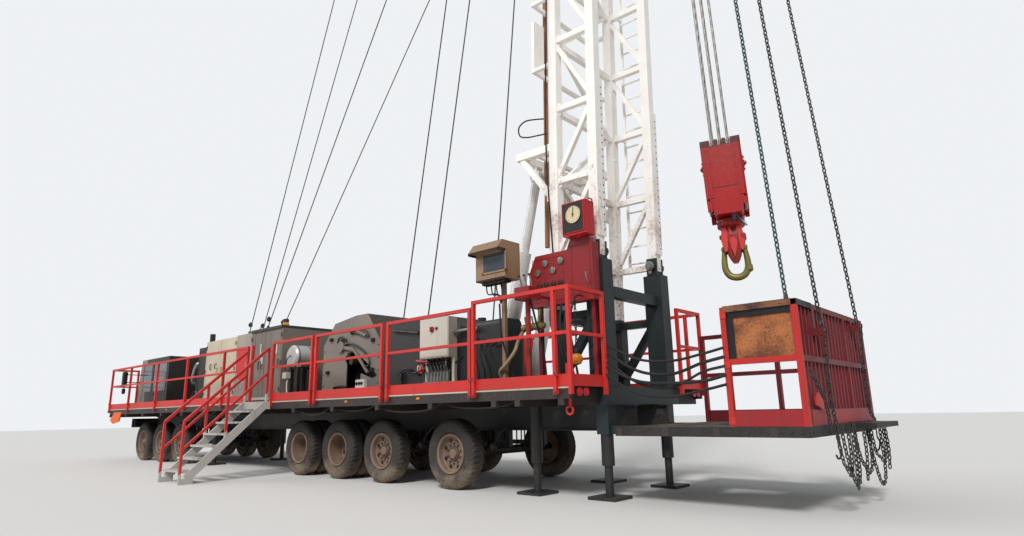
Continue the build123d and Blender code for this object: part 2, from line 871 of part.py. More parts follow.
# Air receiver with rounded ends on its stand
with BuildPart() as air_receiver:
    receiver_far_y = receiver_near_y + receiver_length
    add(rod((receiver_x, receiver_near_y, receiver_z), (receiver_x, receiver_far_y, receiver_z), receiver_radius))
    chamfer(air_receiver.edges().filter_by(GeomType.CIRCLE), receiver_radius * 0.16)
    for stand_y in (receiver_near_y + receiver_stand, receiver_far_y - 2 * receiver_stand):
        for stand_x in (receiver_x - receiver_radius * 0.7, receiver_x + receiver_radius * 0.7 - receiver_stand):
            box(stand_x, stand_x + receiver_stand, stand_y, stand_y + receiver_stand, deck_top_z,
                receiver_z - receiver_radius * 0.45)
        box(receiver_x - receiver_radius * 0.7, receiver_x + receiver_radius * 0.7, stand_y,
            stand_y + receiver_stand, receiver_z - receiver_radius - receiver_stand / 2,
            receiver_z - receiver_radius * 0.75)
save(air_receiver.part, "air_receiver")

# Main drum guard: two side plates with a bent cover between them, open to the brake on the near side
guard_points = [
    (main_guard_x0, deck_top_z), (main_guard_x0, main_guard_shoulder_z - main_guard_front_drop),
    (main_guard_x0 + main_guard_knee_reach, main_guard_top_z - main_guard_knee_drop),
    (main_guard_crest_x0, main_guard_top_z), (main_guard_crest_x1, main_guard_top_z),
    (main_guard_x1, main_guard_shoulder_z - main_guard_rear_drop),
    (main_guard_x1, deck_top_z),
]
with BuildPart() as main_drum_guard:
    with BuildSketch(Plane.XZ.offset(-guard_half_width)):
        with BuildLine():
            Polyline(*guard_points, close=True)
        make_face()
    extrude(amount=2 * guard_half_width)
    with BuildSketch(Plane.XZ.offset(guard_plate - guard_half_width)) as hollow:
        with BuildLine():
            Polyline(*guard_points, close=True)
        make_face()
        offset(amount=-guard_plate)
    extrude(amount=2 * (guard_half_width - guard_plate), mode=Mode.SUBTRACT)
    box(main_guard_x0 + guard_plate, main_guard_x1 - guard_plate, guard_plate - guard_half_width,
        guard_half_width - guard_plate, deck_top_z - 1, deck_top_z + 2 * guard_plate, mode=Mode.SUBTRACT)
    with BuildSketch(Plane.XZ.offset(guard_half_width)):
        with BuildLine():
            Polyline(*brake_window, close=True)
        make_face()
    extrude(amount=-guard_plate, mode=Mode.SUBTRACT)
    box(main_guard_crest_x0 + 2 * guard_plate, main_guard_crest_x1 - 2 * guard_plate, -rope_slot_half_width,
        rope_slot_half_width, main_guard_top_z - 2 * guard_plate, main_guard_top_z + 1, mode=Mode.SUBTRACT)
    # brake lever, its links and pivot on the near plate
    boss_y = -guard_half_width - brake_boss_reach
    lever_y = -guard_half_width - brake_boss_reach / 2
    elbow = (brake_elbow_x, lever_y, brake_elbow_z)
    add([
        rod((brake_pivot_x, -guard_half_width, brake_pivot_z), (brake_pivot_x, boss_y, brake_pivot_z),
            brake_boss_radius),
        bar((brake_pivot_x, lever_y, brake_pivot_z), elbow, brake_bar_width, brake_bar_depth),
        bar(elbow, (brake_end_x, lever_y, brake_end_z), brake_bar_width, brake_bar_width),
        bar((brake_elbow_x, lever_y, brake_link_z), (brake_link_end_x, lever_y, brake_link_end_z), brake_boss_reach,
            brake_bar_width),
    ])
save(main_drum_guard.part, "main_drum_guard")

# Sand drum guard: a lower housing with a chamfered rear shoulder, open at the foot
sand_points = [
    (sand_guard_x0, deck_top_z), (sand_guard_x0, sand_guard_top_z),
    (sand_guard_x1 - sand_guard_chamfer, sand_guard_top_z), (sand_guard_x1, sand_guard_top_z - sand_guard_chamfer),
    (sand_guard_x1, deck_top_z),
]
with BuildPart() as sand_drum_guard:
    with BuildSketch(Plane.XZ.offset(-guard_half_width)):
        with BuildLine():
            Polyline(*sand_points, close=True)
        make_face()
    extrude(amount=2 * guard_half_width)
    with BuildSketch(Plane.XZ.offset(guard_plate - guard_half_width)):
        with BuildLine():
            Polyline(*sand_points, close=True)
        make_face()
        offset(amount=-guard_plate)
    extrude(amount=2 * (guard_half_width - guard_plate), mode=Mode.SUBTRACT)
    box(sand_guard_x0 + guard_plate, sand_guard_x1 - guard_plate, guard_plate - guard_half_width,
        guard_half_width - guard_plate, deck_top_z - 1, deck_top_z + 2 * guard_plate, mode=Mode.SUBTRACT)
    box(sand_guard_x0 + 4 * guard_plate, sand_guard_x1 - 2 * sand_guard_chamfer, -rope_slot_half_width,
        rope_slot_half_width, sand_guard_top_z - 2 * guard_plate, sand_guard_top_z + 1, mode=Mode.SUBTRACT)
    box(sand_guard_x1, dead_line_x + dead_anchor_size / 2, -dead_anchor_size / 2, dead_anchor_size / 2,
        dead_line_z - dead_anchor_size, dead_line_z)
save(sand_drum_guard.part, "sand_drum_guard")

# Main and sand line drums on their shafts, which seat on the guards' side plates
with BuildPart() as drums:
    shaft_half = guard_half_width - guard_plate
    for drum_x, drum_z, barrel, flange in (
            (main_drum_x, main_drum_z, main_drum_radius, main_flange_radius),
            (sand_drum_x, sand_drum_z, sand_drum_radius, sand_flange_radius)):
        centre = (drum_x, 0, drum_z)
        with BuildSketch(Plane(origin=centre, x_dir=(0, 1, 0), z_dir=(1, 0, 0))) as half_section:
            with BuildLine():
                Polyline(
                    (-shaft_half, 0), (-shaft_half, drum_shaft_radius), (-drum_half_length, drum_shaft_radius),
                    (-drum_half_length, flange), (drum_flange - drum_half_length, flange),
                    (drum_flange - drum_half_length, barrel), (drum_half_length - drum_flange, barrel),
                    (drum_half_length - drum_flange, flange), (drum_half_length, flange),
                    (drum_half_length, drum_shaft_radius), (shaft_half, drum_shaft_radius), (shaft_half, 0),
                    close=True,
                )
            make_face()
        revolve(half_section.sketch, axis=Axis(centre, (0, 1, 0)))
save(drums.part, "drums")

# Electrical switch box on its stand
with BuildPart() as switchbox:
    switchbox_far_y = switchbox_near_y + switchbox_depth
    box(switchbox_x0, switchbox_x0 + switchbox_length, switchbox_near_y, switchbox_far_y,
        switchbox_z, switchbox_z + switchbox_height)
    for leg_x in (switchbox_x0, switchbox_x0 + switchbox_length - stand_tube):
        box(leg_x, leg_x + stand_tube, switchbox_far_y - stand_tube, switchbox_far_y, deck_top_z, switchbox_z)
    for groove_z in (switchbox_z + 2 * door_gap, switchbox_z + switchbox_height - 3 * door_gap):
        box(switchbox_x0 + 2 * door_gap, switchbox_x0 + switchbox_length - 2 * door_gap, switchbox_near_y,
            switchbox_near_y + door_relief, groove_z, groove_z + door_gap / 2, mode=Mode.SUBTRACT)
save(switchbox.part, "switchbox")

# Valve bank: a manifold with a row of valve bodies and bent outlet pipes
with BuildPart() as valve_bank:
    bank_y0 = switchbox_near_y + stand_tube / 2
    bank_y1 = bank_y0 + manifold_depth
    bank_length = valve_count * valve_pitch
    box(valve_x0 - valve_radius, valve_x0 + bank_length, bank_y0, bank_y1, deck_top_z, deck_top_z + manifold_height)
    spools = []
    for index in range(valve_count):
        valve_x = valve_x0 + (index + 0.5) * valve_pitch
        valve_top_z = deck_top_z + manifold_height + 2 * valve_pitch
        valve_y = bank_y0 + manifold_depth / 3
        spools.append(rod((valve_x, valve_y, deck_top_z + manifold_height - 1), (valve_x, valve_y, valve_top_z),
                          valve_radius))
        spools.append(rod((valve_x, valve_y, valve_top_z - valve_radius),
                          (valve_x, bank_y1, valve_top_z + valve_pitch / 2), valve_radius / 2))
    add(spools)
save(valve_bank.part, "valve_bank")

# Hydraulic tank with rounded upper edges and a filler cap
with BuildPart() as hydraulic_tank:
    box(tank_x0, tank_x0 + tank_length, tank_near_y, tank_near_y + tank_width, deck_top_z, tank_top_z)
    fillet(hydraulic_tank.faces().sort_by(Axis.Z)[-1].edges().filter_by(Axis.X), tank_fillet)
    filler = (tank_x0 + tank_length * 0.3, tank_near_y + tank_width / 2)
    add(rod((*filler, tank_top_z), (*filler, tank_top_z + filler_height), filler_radius))
save(hydraulic_tank.part, "hydraulic_tank")

# Driller's console: a sloped panel on posts, an upright for the gauge, and a control box on its pedestal
with BuildPart() as console:
    console_far_y = console_near_y + console_depth
    with BuildSketch(Plane.XZ.offset(-console_far_y)):
        with BuildLine():
            Polyline(
                (console_x0, console_foot_z), (upright_x1, console_foot_z),
                (upright_x1, upright_top_z - console_corner), (upright_x1 - console_corner, upright_top_z),
                (console_x0 + console_length + console_step, upright_top_z),
                (console_x0 + console_length, console_top_z), (console_x0 + console_nose_length, console_top_z),
                (console_x0, console_top_z - console_nose_drop), close=True,
            )
        make_face()
    extrude(amount=console_depth)
    for post_x in (console_x0 + stand_tube, upright_x1 - 2 * stand_tube):
        box(post_x, post_x + stand_tube, console_far_y - stand_tube, console_far_y, deck_top_z, console_foot_z)
    box(control_box_x - control_box_size / 2, control_box_x + control_box_size / 2,
        control_box_y - control_box_size / 2, control_box_y + control_box_size / 2,
        control_box_z, control_box_z + control_box_height)
    add(rod((control_box_x, control_box_y, deck_top_z), (control_box_x, control_box_y, control_box_z),
            stand_tube * 0.6))
    arm_z = control_box_z + control_box_height / 2
    add(rod((control_box_x, control_box_y, arm_z), (control_box_x, console_far_y, arm_z), control_arm_radius))
save(console.part, "console")

# Monitor box with a visor, on a post
with BuildPart() as monitor_box:
    monitor_far_y = monitor_near_y + monitor_depth
    with BuildSketch(Plane.YZ.offset(monitor_x - monitor_width / 2)):
        with BuildLine():
            Polyline(
                (monitor_near_y, monitor_z), (monitor_far_y, monitor_z),
                (monitor_far_y, monitor_z + monitor_height),
                (monitor_near_y - visor_reach / 3, monitor_z + monitor_height),
                (monitor_near_y - visor_reach, monitor_z + monitor_height - visor_drop),
                (monitor_near_y, monitor_z + monitor_height - visor_drop), close=True,
            )
        make_face()
    extrude(amount=monitor_width)
    box(monitor_x - stand_tube / 2, monitor_x + stand_tube / 2, monitor_far_y - stand_tube, monitor_far_y,
        deck_top_z, monitor_z)
save(monitor_box.part, "monitor_box")

# Weight indicator: a gauge box on the console's upright, with a round dial in its face
with BuildPart() as weight_indicator:
    indicator_x = upright_x1 - indicator_inset
    indicator_far_y = indicator_near_y + indicator_depth
    gauge_z = upright_top_z + indicator_height * 0.58
    box(indicator_x - indicator_width / 2, indicator_x + indicator_width / 2, indicator_near_y,
        indicator_far_y, upright_top_z, upright_top_z + indicator_height)
    with BuildSketch(Plane.XZ.offset(-indicator_near_y)):
        with Locations((indicator_x, gauge_z)):
            Circle(dial_radius)
    extrude(amount=-dial_depth, mode=Mode.SUBTRACT)
save(weight_indicator.part, "weight_indicator")

# Mast base: cross beams on the chassis, pedestals and pin lugs for the front legs, posts for the back
# legs, ties, braces, and the drop legs and arms that meet the work floor
back_post_top_z = on_mast(-mast_depth, 0, -back_foot_drop)[2] - tie_beam / 4
pedestal_top_z = mast_pivot_z - mast_leg
with BuildPart() as mast_base:
    for beam_x in (mast_back_x, mast_pivot_x):
        box(beam_x - base_beam_width / 2, beam_x + base_beam_width / 2, -mast_slot_half_width,
            mast_slot_half_width, frame_top_z, deck_top_z)
        box(beam_x - tie_beam / 2, beam_x + tie_beam / 2, -mast_half_width, mast_half_width,
            tie_beam_z - tie_beam if beam_x == mast_pivot_x else back_post_top_z - tie_beam,
            tie_beam_z if beam_x == mast_pivot_x else back_post_top_z)
    parts = []
    for side in (-1, 1):
        y = side * mast_half_width
        box(mast_pivot_x - pedestal_length / 2, mast_pivot_x + pedestal_length / 2, y - pedestal_width / 2,
            y + pedestal_width / 2, deck_top_z, pedestal_top_z)
        box(mast_back_x - back_post / 2, mast_back_x + back_post / 2, y - back_post / 2, y + back_post / 2,
            deck_top_z, back_post_top_z)
        box(mast_pivot_x - drop_leg / 2, mast_pivot_x + drop_leg / 2, y - drop_leg / 2, y + drop_leg / 2,
            floor_under_z, frame_top_z)
        box(mast_pivot_x, floor_x0, y - floor_arm / 2, y + floor_arm / 2, floor_under_z, floor_z)
        parts += [
            mast_bar((0, y, -mast_leg * 1.5), (0, y, -mast_leg / 2), mast_leg),
            mast_bar((-mast_depth, y, -back_foot_drop - tie_beam), (-mast_depth, y, -back_foot_drop), mast_leg),
            bar((mast_back_x, y, deck_top_z + base_brace), (mast_pivot_x, y, back_post_top_z), base_brace),
            bar((mast_back_x, y, back_post_top_z - tie_beam / 2), (mast_pivot_x, y, back_post_top_z - tie_beam / 2),
                base_brace),
            bar((mast_back_x, y, deck_top_z + base_brace), (mast_back_x, 0, back_post_top_z - tie_beam / 2),
                base_brace),
        ]
        for face in (-1, 1):
            lug_y = y + face * (mast_leg + pin_lug_thickness) / 2
            parts.append(mast_bar((0, lug_y, -mast_leg * 1.5), (0, lug_y, pin_lug_rise), pin_lug_width,
                                  pin_lug_thickness))
            head_y = lug_y + face * pin_lug_thickness / 2
            parts.append(mast_frame * rod((0, head_y, 0), (0, head_y + face * pin_head, 0), pin_radius))
    add(parts)
save(mast_base.part, "mast_base")


# One side face of the mast's lower section, with two legs, level girts and a brace in each bay, and its mirror
with BuildPart() as mast_near_side:
    y = -mast_half_width
    strip_x = (mast_leg + strip_thickness) / 2
    parts = [
        mast_bar((0, y, -mast_leg / 2), (0, y, mast_height), mast_leg),
        mast_bar((-mast_depth, y, -back_foot_drop), (-mast_depth, y, mast_height), mast_leg),
        mast_bar((strip_x, y, strip_foot), (strip_x, y, strip_foot + strip_length), strip_thickness, strip_width),
    ]
    for index in range(mast_bays + 1):
        girt_z = min(index * mast_bay, mast_height - mast_girt / 2)
        parts.append(mast_bar((-mast_depth, y, girt_z), (0, y, girt_z), mast_girt))
    for index in range(mast_bays):
        front_z, back_z = index * mast_bay, min((index + 1) * mast_bay, mast_height - mast_girt)
        if index < low_braced_bays:
            front_z, back_z = back_z, front_z
        parts.append(mast_bar((-mast_depth, y, back_z), (0, y, front_z), mast_brace))
    add(parts)
save(mast_near_side.part, "mast_near_side")
save(mast_near_side.part.mirror(Plane.XZ), "mast_far_side")

# The mast's back face: girts and zigzag braces between the back legs
with BuildPart() as mast_back:
    reach = mast_half_width - mast_leg / 2
    inner = reach - mast_girt / 2
    parts = []
    for index in range(mast_bays + 1):
        girt_z = min(index * mast_bay, mast_height - mast_girt / 2)
        parts.append(mast_bar((-mast_depth, -reach, girt_z), (-mast_depth, reach, girt_z), mast_girt))
    for index in range(mast_bays):
        swing = inner if index % 2 else -inner
        high = min((index + 1) * mast_bay, mast_height - mast_girt)
        parts.append(mast_bar((-mast_depth, -swing, index * mast_bay), (-mast_depth, swing, high), mast_brace))
    add(parts)
save(mast_back.part, "mast_back")

# The mast's upper section, with guide blocks that bear on the lower legs' inner faces
with BuildPart() as upper_mast:
    reach = mast_half_width - mast_leg / 2
    parts = []
    for side in (-1, 1):
        y = side * upper_half_width
        for x in (upper_front, upper_back):
            parts.append(mast_bar((x, y, upper_foot), (x, y, upper_top), upper_leg))
            for guide_z in (upper_foot + guide_height / 2, mast_height - guide_height):
                parts.append(mast_bar((x, y, guide_z), (x, side * reach, guide_z), guide_depth, guide_height))
    for index in range(upper_bays + 1):
        girt_z = min(upper_foot + index * upper_bay, upper_top - upper_girt / 2)
        if index == 0:
            girt_z = upper_foot + upper_girt / 2
        parts.append(mast_bar((upper_back, -upper_half_width, girt_z), (upper_back, upper_half_width, girt_z),
                              upper_girt))
        for y in (-upper_half_width, upper_half_width):
            parts.append(mast_bar((upper_back, y, girt_z), (upper_front, y, girt_z), upper_girt))
    for index in range(upper_bays):
        low = max(upper_foot + index * upper_bay, upper_foot + upper_girt)
        high = min(upper_foot + (index + 1) * upper_bay, upper_top - upper_girt)
        swing = upper_half_width if index % 2 else -upper_half_width
        parts.append(mast_bar((upper_back, -swing, low), (upper_back, swing, high), upper_brace))
        near_x, far_x = (upper_front, upper_back) if index % 2 else (upper_back, upper_front)
        for y in (-upper_half_width, upper_half_width):
            parts.append(mast_bar((near_x, y, low), (far_x, y, high), upper_brace))
    add(parts)
save(upper_mast.part, "upper_mast")

# Ladder on the mast's far side, on standoffs from every second girt
with BuildPart() as ladder:
    ladder_y = mast_half_width + mast_leg / 2 + ladder_standoff
    ladder_x0 = -(mast_depth + ladder_width) / 2
    parts = []
    for rail_x in (ladder_x0, ladder_x0 + ladder_width):
        parts.append(mast_bar((rail_x, ladder_y, 0), (rail_x, ladder_y, mast_height), ladder_rail))
        for index in range(0, mast_bays + 1, 2):
            standoff_z = min(index * mast_bay, mast_height - mast_girt / 2)
            parts.append(mast_bar((rail_x, mast_half_width + mast_girt / 2, standoff_z),
                                  (rail_x, ladder_y, standoff_z), ladder_rail))
    for index in range(1, int(mast_height // ladder_pitch) + 1):
        rung_z = index * ladder_pitch - ladder_pitch / 2
        parts.append(mast_bar((ladder_x0, ladder_y, rung_z), (ladder_x0 + ladder_width, ladder_y, rung_z),
                              ladder_rung))
    add(parts)
save(ladder.part, "ladder")

# Racking board: a horseshoe frame round the block's path, with pipe fingers and knee braces
with BuildPart() as racking_board:
    inner_x = mast_leg / 2
    outer_x = inner_x + board_reach
    parts = []
    for side in (-1, 1):
        slot_y, edge_y = side * board_slot_half_width, side * board_half_width
        for x in (inner_x + board_beam / 2, outer_x - board_beam / 2):
            parts.append(mast_bar((x, slot_y, board_level), (x, edge_y, board_level), board_beam))
        for y in (slot_y, edge_y):
            parts.append(mast_bar((inner_x, y, board_level), (outer_x, y, board_level), board_beam))
        for index in range(finger_count):
            finger_x = inner_x + (index + 1) * board_reach / (finger_count + 1)
            parts.append(mast_bar((finger_x, slot_y, board_level), (finger_x, edge_y, board_level), finger_size))
        knee_y = side * mast_half_width
        knee_z = board_level - board_knee
        parts.append(mast_bar((inner_x, knee_y, knee_z), (inner_x + finger_size, knee_y, knee_z),
                              board_beam, 2 * board_beam))
        parts.append(mast_bar((inner_x + finger_size, knee_y, knee_z), (outer_x - board_beam / 2, knee_y,
                              board_level), finger_size))
    add(parts)
save(racking_board.part, "racking_board")

# Bracket for the raising rams, lighter pipe hangers above it, and the housing that one of them carries
with BuildPart() as back_brackets:
    leg_rear_x = -mast_depth - mast_leg / 2
    ram_head_x = -mast_depth - bracket_reach
    ram_bar_z = ram_head_z + ram_bracket_drop
    hanger_x = -mast_depth - hanger_reach
    parts = [mast_bar((ram_head_x, -mast_half_width, ram_bar_z), (ram_head_x, mast_half_width, ram_bar_z),
                      bracket_size)]
    for side in (-1, 1):
        y = side * mast_half_width
        brace_z = ram_bar_z - bracket_brace_drop
        parts += [
            mast_bar((leg_rear_x, y, ram_bar_z), (ram_head_x - bracket_size / 2, y, ram_bar_z), bracket_size),
            mast_bar((leg_rear_x, y, brace_z), (leg_rear_x - hanger_size, y, brace_z), bracket_size,
                     2 * bracket_size),
            mast_bar((leg_rear_x - hanger_size, y, brace_z), (ram_head_x, y, ram_bar_z), bracket_size * 0.7),
        ]
        for face in (-1, 1):
            lug_y = side * ram_half_spread + face * (ram_eye_length + ram_lug_thickness) / 2
            parts.append(mast_bar((ram_head_x, lug_y, ram_head_z - ram_eye_radius), (ram_head_x, lug_y, ram_bar_z),
                                  bracket_size, ram_lug_thickness))
    for level in [ram_bar_z] + hanger_levels:
        half = mast_half_width
        parts.append(mast_bar((hanger_x, -half, level), (hanger_x, half, level), hanger_size))
        if level != ram_bar_z:
            for y in (-half, half):
                parts.append(mast_bar((leg_rear_x, y, level), (hanger_x - hanger_size / 2, y, level), hanger_size))
    parts.append(mast_bar((hanger_x, housing_near_y, hanger_levels[0]),
                          (hanger_x, housing_near_y, hanger_levels[0] + housing_height), hanger_size,
                          housing_width))
    add(parts)
save(back_brackets.part, "back_brackets")

# Standpipe and a smaller pipe, clamped behind the hangers
with BuildPart() as pipes:
    rest_x = hanger_x - hanger_size / 2
    add([mast_frame * rod((rest_x - radius, y, pipe_foot), (rest_x - radius, y, pipe_top), radius)
         for y, radius in ((standpipe_y, standpipe_radius), (rusty_pipe_y, rusty_pipe_radius))])
save(pipes.part, "pipes")

# Raising rams: a foot block on the deck, a tube and a rod with an eye between the bracket's lugs
with BuildPart() as raising_rams:
    parts = []
    for side in (-1, 1):
        y = side * ram_half_spread
        foot = Vector(ram_foot_x, y, ram_foot_z)
        head = Vector(*on_mast(ram_head_x, y, ram_head_z))
        box(ram_foot_x - ram_foot_half_width, ram_foot_x + ram_foot_half_width, y - ram_foot_half_width,
            y + ram_foot_half_width, deck_top_z, ram_foot_z)
        tube_end = foot + (head - foot) * ram_tube_share
        half_eye = Vector(0, ram_eye_length / 2, 0)
        parts += [
            rod(foot - half_eye, foot + half_eye, ram_eye_radius * 1.3),
            rod(foot, tube_end, ram_tube_radius),
            rod(tube_end, head, ram_rod_radius),
            rod(head - half_eye, head + half_eye, ram_eye_radius),
        ]
    add(parts)
save(raising_rams.part, "raising_rams")

# The hoist lines run from the travelling block's sheaves straight up to matching sheaves in the crown
crown_shaft_z = upper_top + crown_beam + crown_floor_plate + block_sheave_radius + sheave_flange
crown_shaft_z += crown_sheave_clearance
crown_centre = Vector(*on_mast(crown_shaft_x, 0, crown_shaft_z))
block_top = Vector(block_x, 0, block_top_z)
line_run = crown_centre - block_top
line_lean = degrees(atan2(-line_run.X, line_run.Z))
block_frame = Location((block_x, 0, block_top_z), (0, -line_lean, block_turn))
line_spread = block_sheave_radius + hoist_line_radius + fit_gap / 2
shaft_half = 1.5 * block_sheave_pitch + sheave_flange


def sheave(centre):
    """A grooved sheave on its centre, turning about the line across the block."""
    radius, flange = block_sheave_radius, sheave_flange
    width, groove = block_sheave_width, sheave_groove
    with BuildPart() as built:
        with BuildSketch(Plane(origin=centre, x_dir=(1, 0, 0), z_dir=(0, -1, 0))) as half_section:
            with BuildLine():
                Polyline((-width / 2, 0), (-width / 2, radius + flange), (-groove / 2, radius + flange),
                         (-groove / 2, radius), (groove / 2, radius), (groove / 2, radius + flange),
                         (width / 2, radius + flange), (width / 2, 0), close=True)
            make_face()
        revolve(half_section.sketch, axis=Axis(centre, (1, 0, 0)))
    return built.part


# Crown: a frame on the mast's head, a floor round the lines and a cradle for the sheaves
crown_lines_frame = Location(tuple(crown_centre), (0, -line_lean, block_turn))
with BuildPart() as crown_frame:
    beam_z = upper_top + crown_beam / 2
    floor_top = upper_top + crown_beam + crown_floor_plate
    parts = []
    for side in (-1, 1):
        y = side * crown_half_width
        parts.append(mast_bar((crown_back, y, beam_z), (crown_front, y, beam_z), crown_beam))
    for x in (crown_back + crown_beam / 2, crown_front - crown_beam / 2):
        parts.append(mast_bar((x, -crown_half_width, beam_z), (x, crown_half_width, beam_z), crown_beam))
    parts.append(mast_bar((crown_floor_back - crown_beam / 2, 0, floor_top - crown_floor_plate / 2),
                          (crown_floor_front + crown_beam / 2, 0, floor_top - crown_floor_plate / 2),
                          2 * crown_half_width, crown_floor_plate))
    add(parts)
    shaft_rise = crown_shaft_z - floor_top
    opening = Box(2 * shaft_half, 2 * (line_spread + crown_sheave_clearance), shaft_rise, mode=Mode.PRIVATE)
    add(crown_lines_frame * Location((0, 0, -shaft_rise)) * opening, mode=Mode.SUBTRACT)
    rope_x = fast_sheave_x - block_sheave_radius - line_radius - fast_rope_slot
    rope_slot = Box(2 * fast_rope_slot, fast_rope_slot, 4 * crown_floor_plate, mode=Mode.PRIVATE)
    add(mast_frame * Location((rope_x, fast_sheave_y, floor_top)) * rope_slot, mode=Mode.SUBTRACT)
    cheeks = []
    for side in (-1, 1):
        cheek = Box(cradle_thickness, cradle_length, shaft_rise + cradle_rise + cradle_tab, mode=Mode.PRIVATE)
        cheeks.append(crown_lines_frame * Location((side * (shaft_half + cradle_thickness / 2), 0,
                                                    (cradle_rise - shaft_rise - cradle_tab) / 2)) * cheek)
        cheek_y = fast_sheave_y + side * (block_sheave_width + cradle_thickness + 2 * fit_gap) / 2
        cheeks.append(mast_bar((fast_sheave_x, cheek_y, floor_top - crown_floor_plate / 2),
                               (fast_sheave_x, cheek_y, crown_shaft_z + cradle_rise), cradle_rise,
                               cradle_thickness))
    add(cheeks)
save(crown_frame.part, "crown_frame")

# Crown sheaves on their shaft, and the fast line's sheave beside them
with BuildPart() as crown_sheaves:
    cluster = [rod((-shaft_half, 0, 0), (shaft_half, 0, 0), block_shaft_radius)]
    for index in (-1, 0, 1):
        cluster.append(sheave((index * block_sheave_pitch, 0, 0)))
    fast_frame = mast_frame * Location((fast_sheave_x, fast_sheave_y, crown_shaft_z), (0, 0, 90))
    fast_half = block_sheave_width / 2 + fit_gap
    fast = [rod((-fast_half, 0, 0), (fast_half, 0, 0), block_shaft_radius),
            sheave((0, 0, 0))]
    add([crown_lines_frame * piece for piece in cluster] + [fast_frame * piece for piece in fast])
save(crown_sheaves.part, "crown_sheaves")

# Travelling block: a tapered housing between two side plates, with a slot for each sheave and its two
# lines, a notch where each line passes the upper edge, and the shaft's caps on the plates
with BuildPart() as travelling_block:
    half = block_width / 2
    body_half = half - block_side_plate
    foot_half = block_foot_width / 2
    with BuildSketch(Plane.XZ.offset(-block_depth / 2)):
        with BuildLine():
            Polyline((-body_half, 0), (body_half, 0), (body_half, block_taper - block_height),
                     (foot_half, -block_height), (-foot_half, -block_height),
                     (-body_half, block_taper - block_height), close=True)
        make_face()
    extrude(amount=block_depth)
    for side in (-1, 1):
        with BuildSketch(Plane.YZ.offset(side * body_half)):
            with BuildLine():
                plate_y, cut_y = block_depth / 2, block_depth / 2 - block_side_cut
                Polyline((-plate_y, 0), (plate_y, 0), (plate_y, block_side_cut - block_side_drop),
                         (cut_y, -block_side_drop), (-cut_y, -block_side_drop),
                         (-plate_y, block_side_cut - block_side_drop), close=True)
            make_face()
        extrude(amount=side * block_side_plate)
    chamfer(travelling_block.faces().sort_by(Axis.Z)[-1].edges().filter_by(Axis.X), block_shoulder)
    upright = travelling_block.edges().filter_by(Axis.Z)
    chamfer(upright.filter_by(lambda edge: abs(edge.center().X) > half - 1), block_corner)
    slot_bottom = block_sheave_drop + block_sheave_radius + sheave_flange + block_wall
    slot_half = block_depth / 2 - block_wall
    for index in (-1, 0, 1):
        x = index * block_sheave_pitch
        box(x - block_slot_width / 2, x + block_slot_width / 2, -slot_half, slot_half, -slot_bottom, 1,
            mode=Mode.SUBTRACT)
        box(x - block_rope_gap / 2, x + block_rope_gap / 2, -block_depth, block_depth, -block_rope_notch, 1,
            mode=Mode.SUBTRACT)
    cap_half = half + block_shaft_cap_height
    sheaves = [sheave((index * block_sheave_pitch, 0, -block_sheave_drop)) for index in (-1, 0, 1)]
    shaft = rod((-half, 0, -block_sheave_drop), (half, 0, -block_sheave_drop), block_shaft_radius)
    caps = [rod((side * half, 0, -block_sheave_drop), (side * cap_half, 0, -block_sheave_drop),
                block_shaft_cap_radius) for side in (-1, 1)]
    add([shaft] + sheaves + caps)
save(block_frame * travelling_block.part, "travelling_block")

# Hook: a turned swivel collar, a shank that narrows to a tip between two arms, and the ring that they hold
with BuildPart() as hook:
    collar_z = -block_height - fit_gap
    shank_z = collar_z - swivel_height
    ring_z = shank_z - shank_length - hook_eye_radius - hook_bar_radius
    half = shank_width / 2
    half_gap = radians(hook_gap_angle / 2)
    waist = hook_eye_radius * cos(half_gap)
    arm_foot_x = hook_eye_radius * sin(half_gap) + hook_bar_radius / 2
    with BuildSketch(Plane.XZ.offset(-shank_depth / 2)):
        with BuildLine():
            Polyline((-half, shank_z), (half, shank_z), (half, shank_z - shank_length / 3),
                     (arm_foot_x, ring_z + waist), (0, ring_z + hook_tip_reach), (-arm_foot_x, ring_z + waist),
                     (-half, shank_z - shank_length / 3), close=True)
        make_face()
    extrude(amount=shank_depth)
    # the arms stand proud of the shank and close on the ring's ends
    with BuildSketch(Plane.XZ.offset(-hook_arm_depth / 2)):
        for side in (-1, 1):
            with BuildLine():
                Polyline((side * half, shank_z), (side * (half - hook_arm_width), shank_z),
                         (side * hook_arm_gap, ring_z + waist + hook_bar_radius),
                         (side * arm_foot_x, ring_z + waist), (side * (half + hook_bar_radius / 2),
                         ring_z + waist + hook_eye_radius), close=True)
            make_face()
    extrude(amount=hook_arm_depth)
    ring_start = Plane(origin=(0, 0, ring_z), x_dir=(sin(half_gap), 0, cos(half_gap)),
                       z_dir=(-cos(half_gap), 0, sin(half_gap)))
    with BuildSketch(ring_start) as bar_section:
        with Locations((hook_eye_radius, 0)):
            Circle(hook_bar_radius)
    revolve(bar_section.sketch, axis=Axis((0, 0, ring_z), (0, 1, 0)), revolution_arc=360 - hook_gap_angle)
    with BuildSketch(Plane.XZ) as collar_section:
        with BuildLine():
            Polyline((0, collar_z), (swivel_neck_radius, collar_z), (swivel_radius, collar_z - swivel_height / 4),
                     (swivel_radius, shank_z + swivel_height / 4), (swivel_neck_radius, shank_z), (0, shank_z),
                     close=True)
        make_face()
    revolve(collar_section.sketch, axis=Axis.Z)
save(block_frame * hook.part, "hook")

# Hoist lines between the block's sheaves and the crown's
with BuildPart() as hoist_lines:
    add([block_frame * rod((index * block_sheave_pitch, y, -block_sheave_drop),
                           (index * block_sheave_pitch, y, line_run.length), hoist_line_radius)
         for index in (-1, 0, 1) for y in (-line_spread, line_spread)])
save(hoist_lines.part, "hoist_lines")


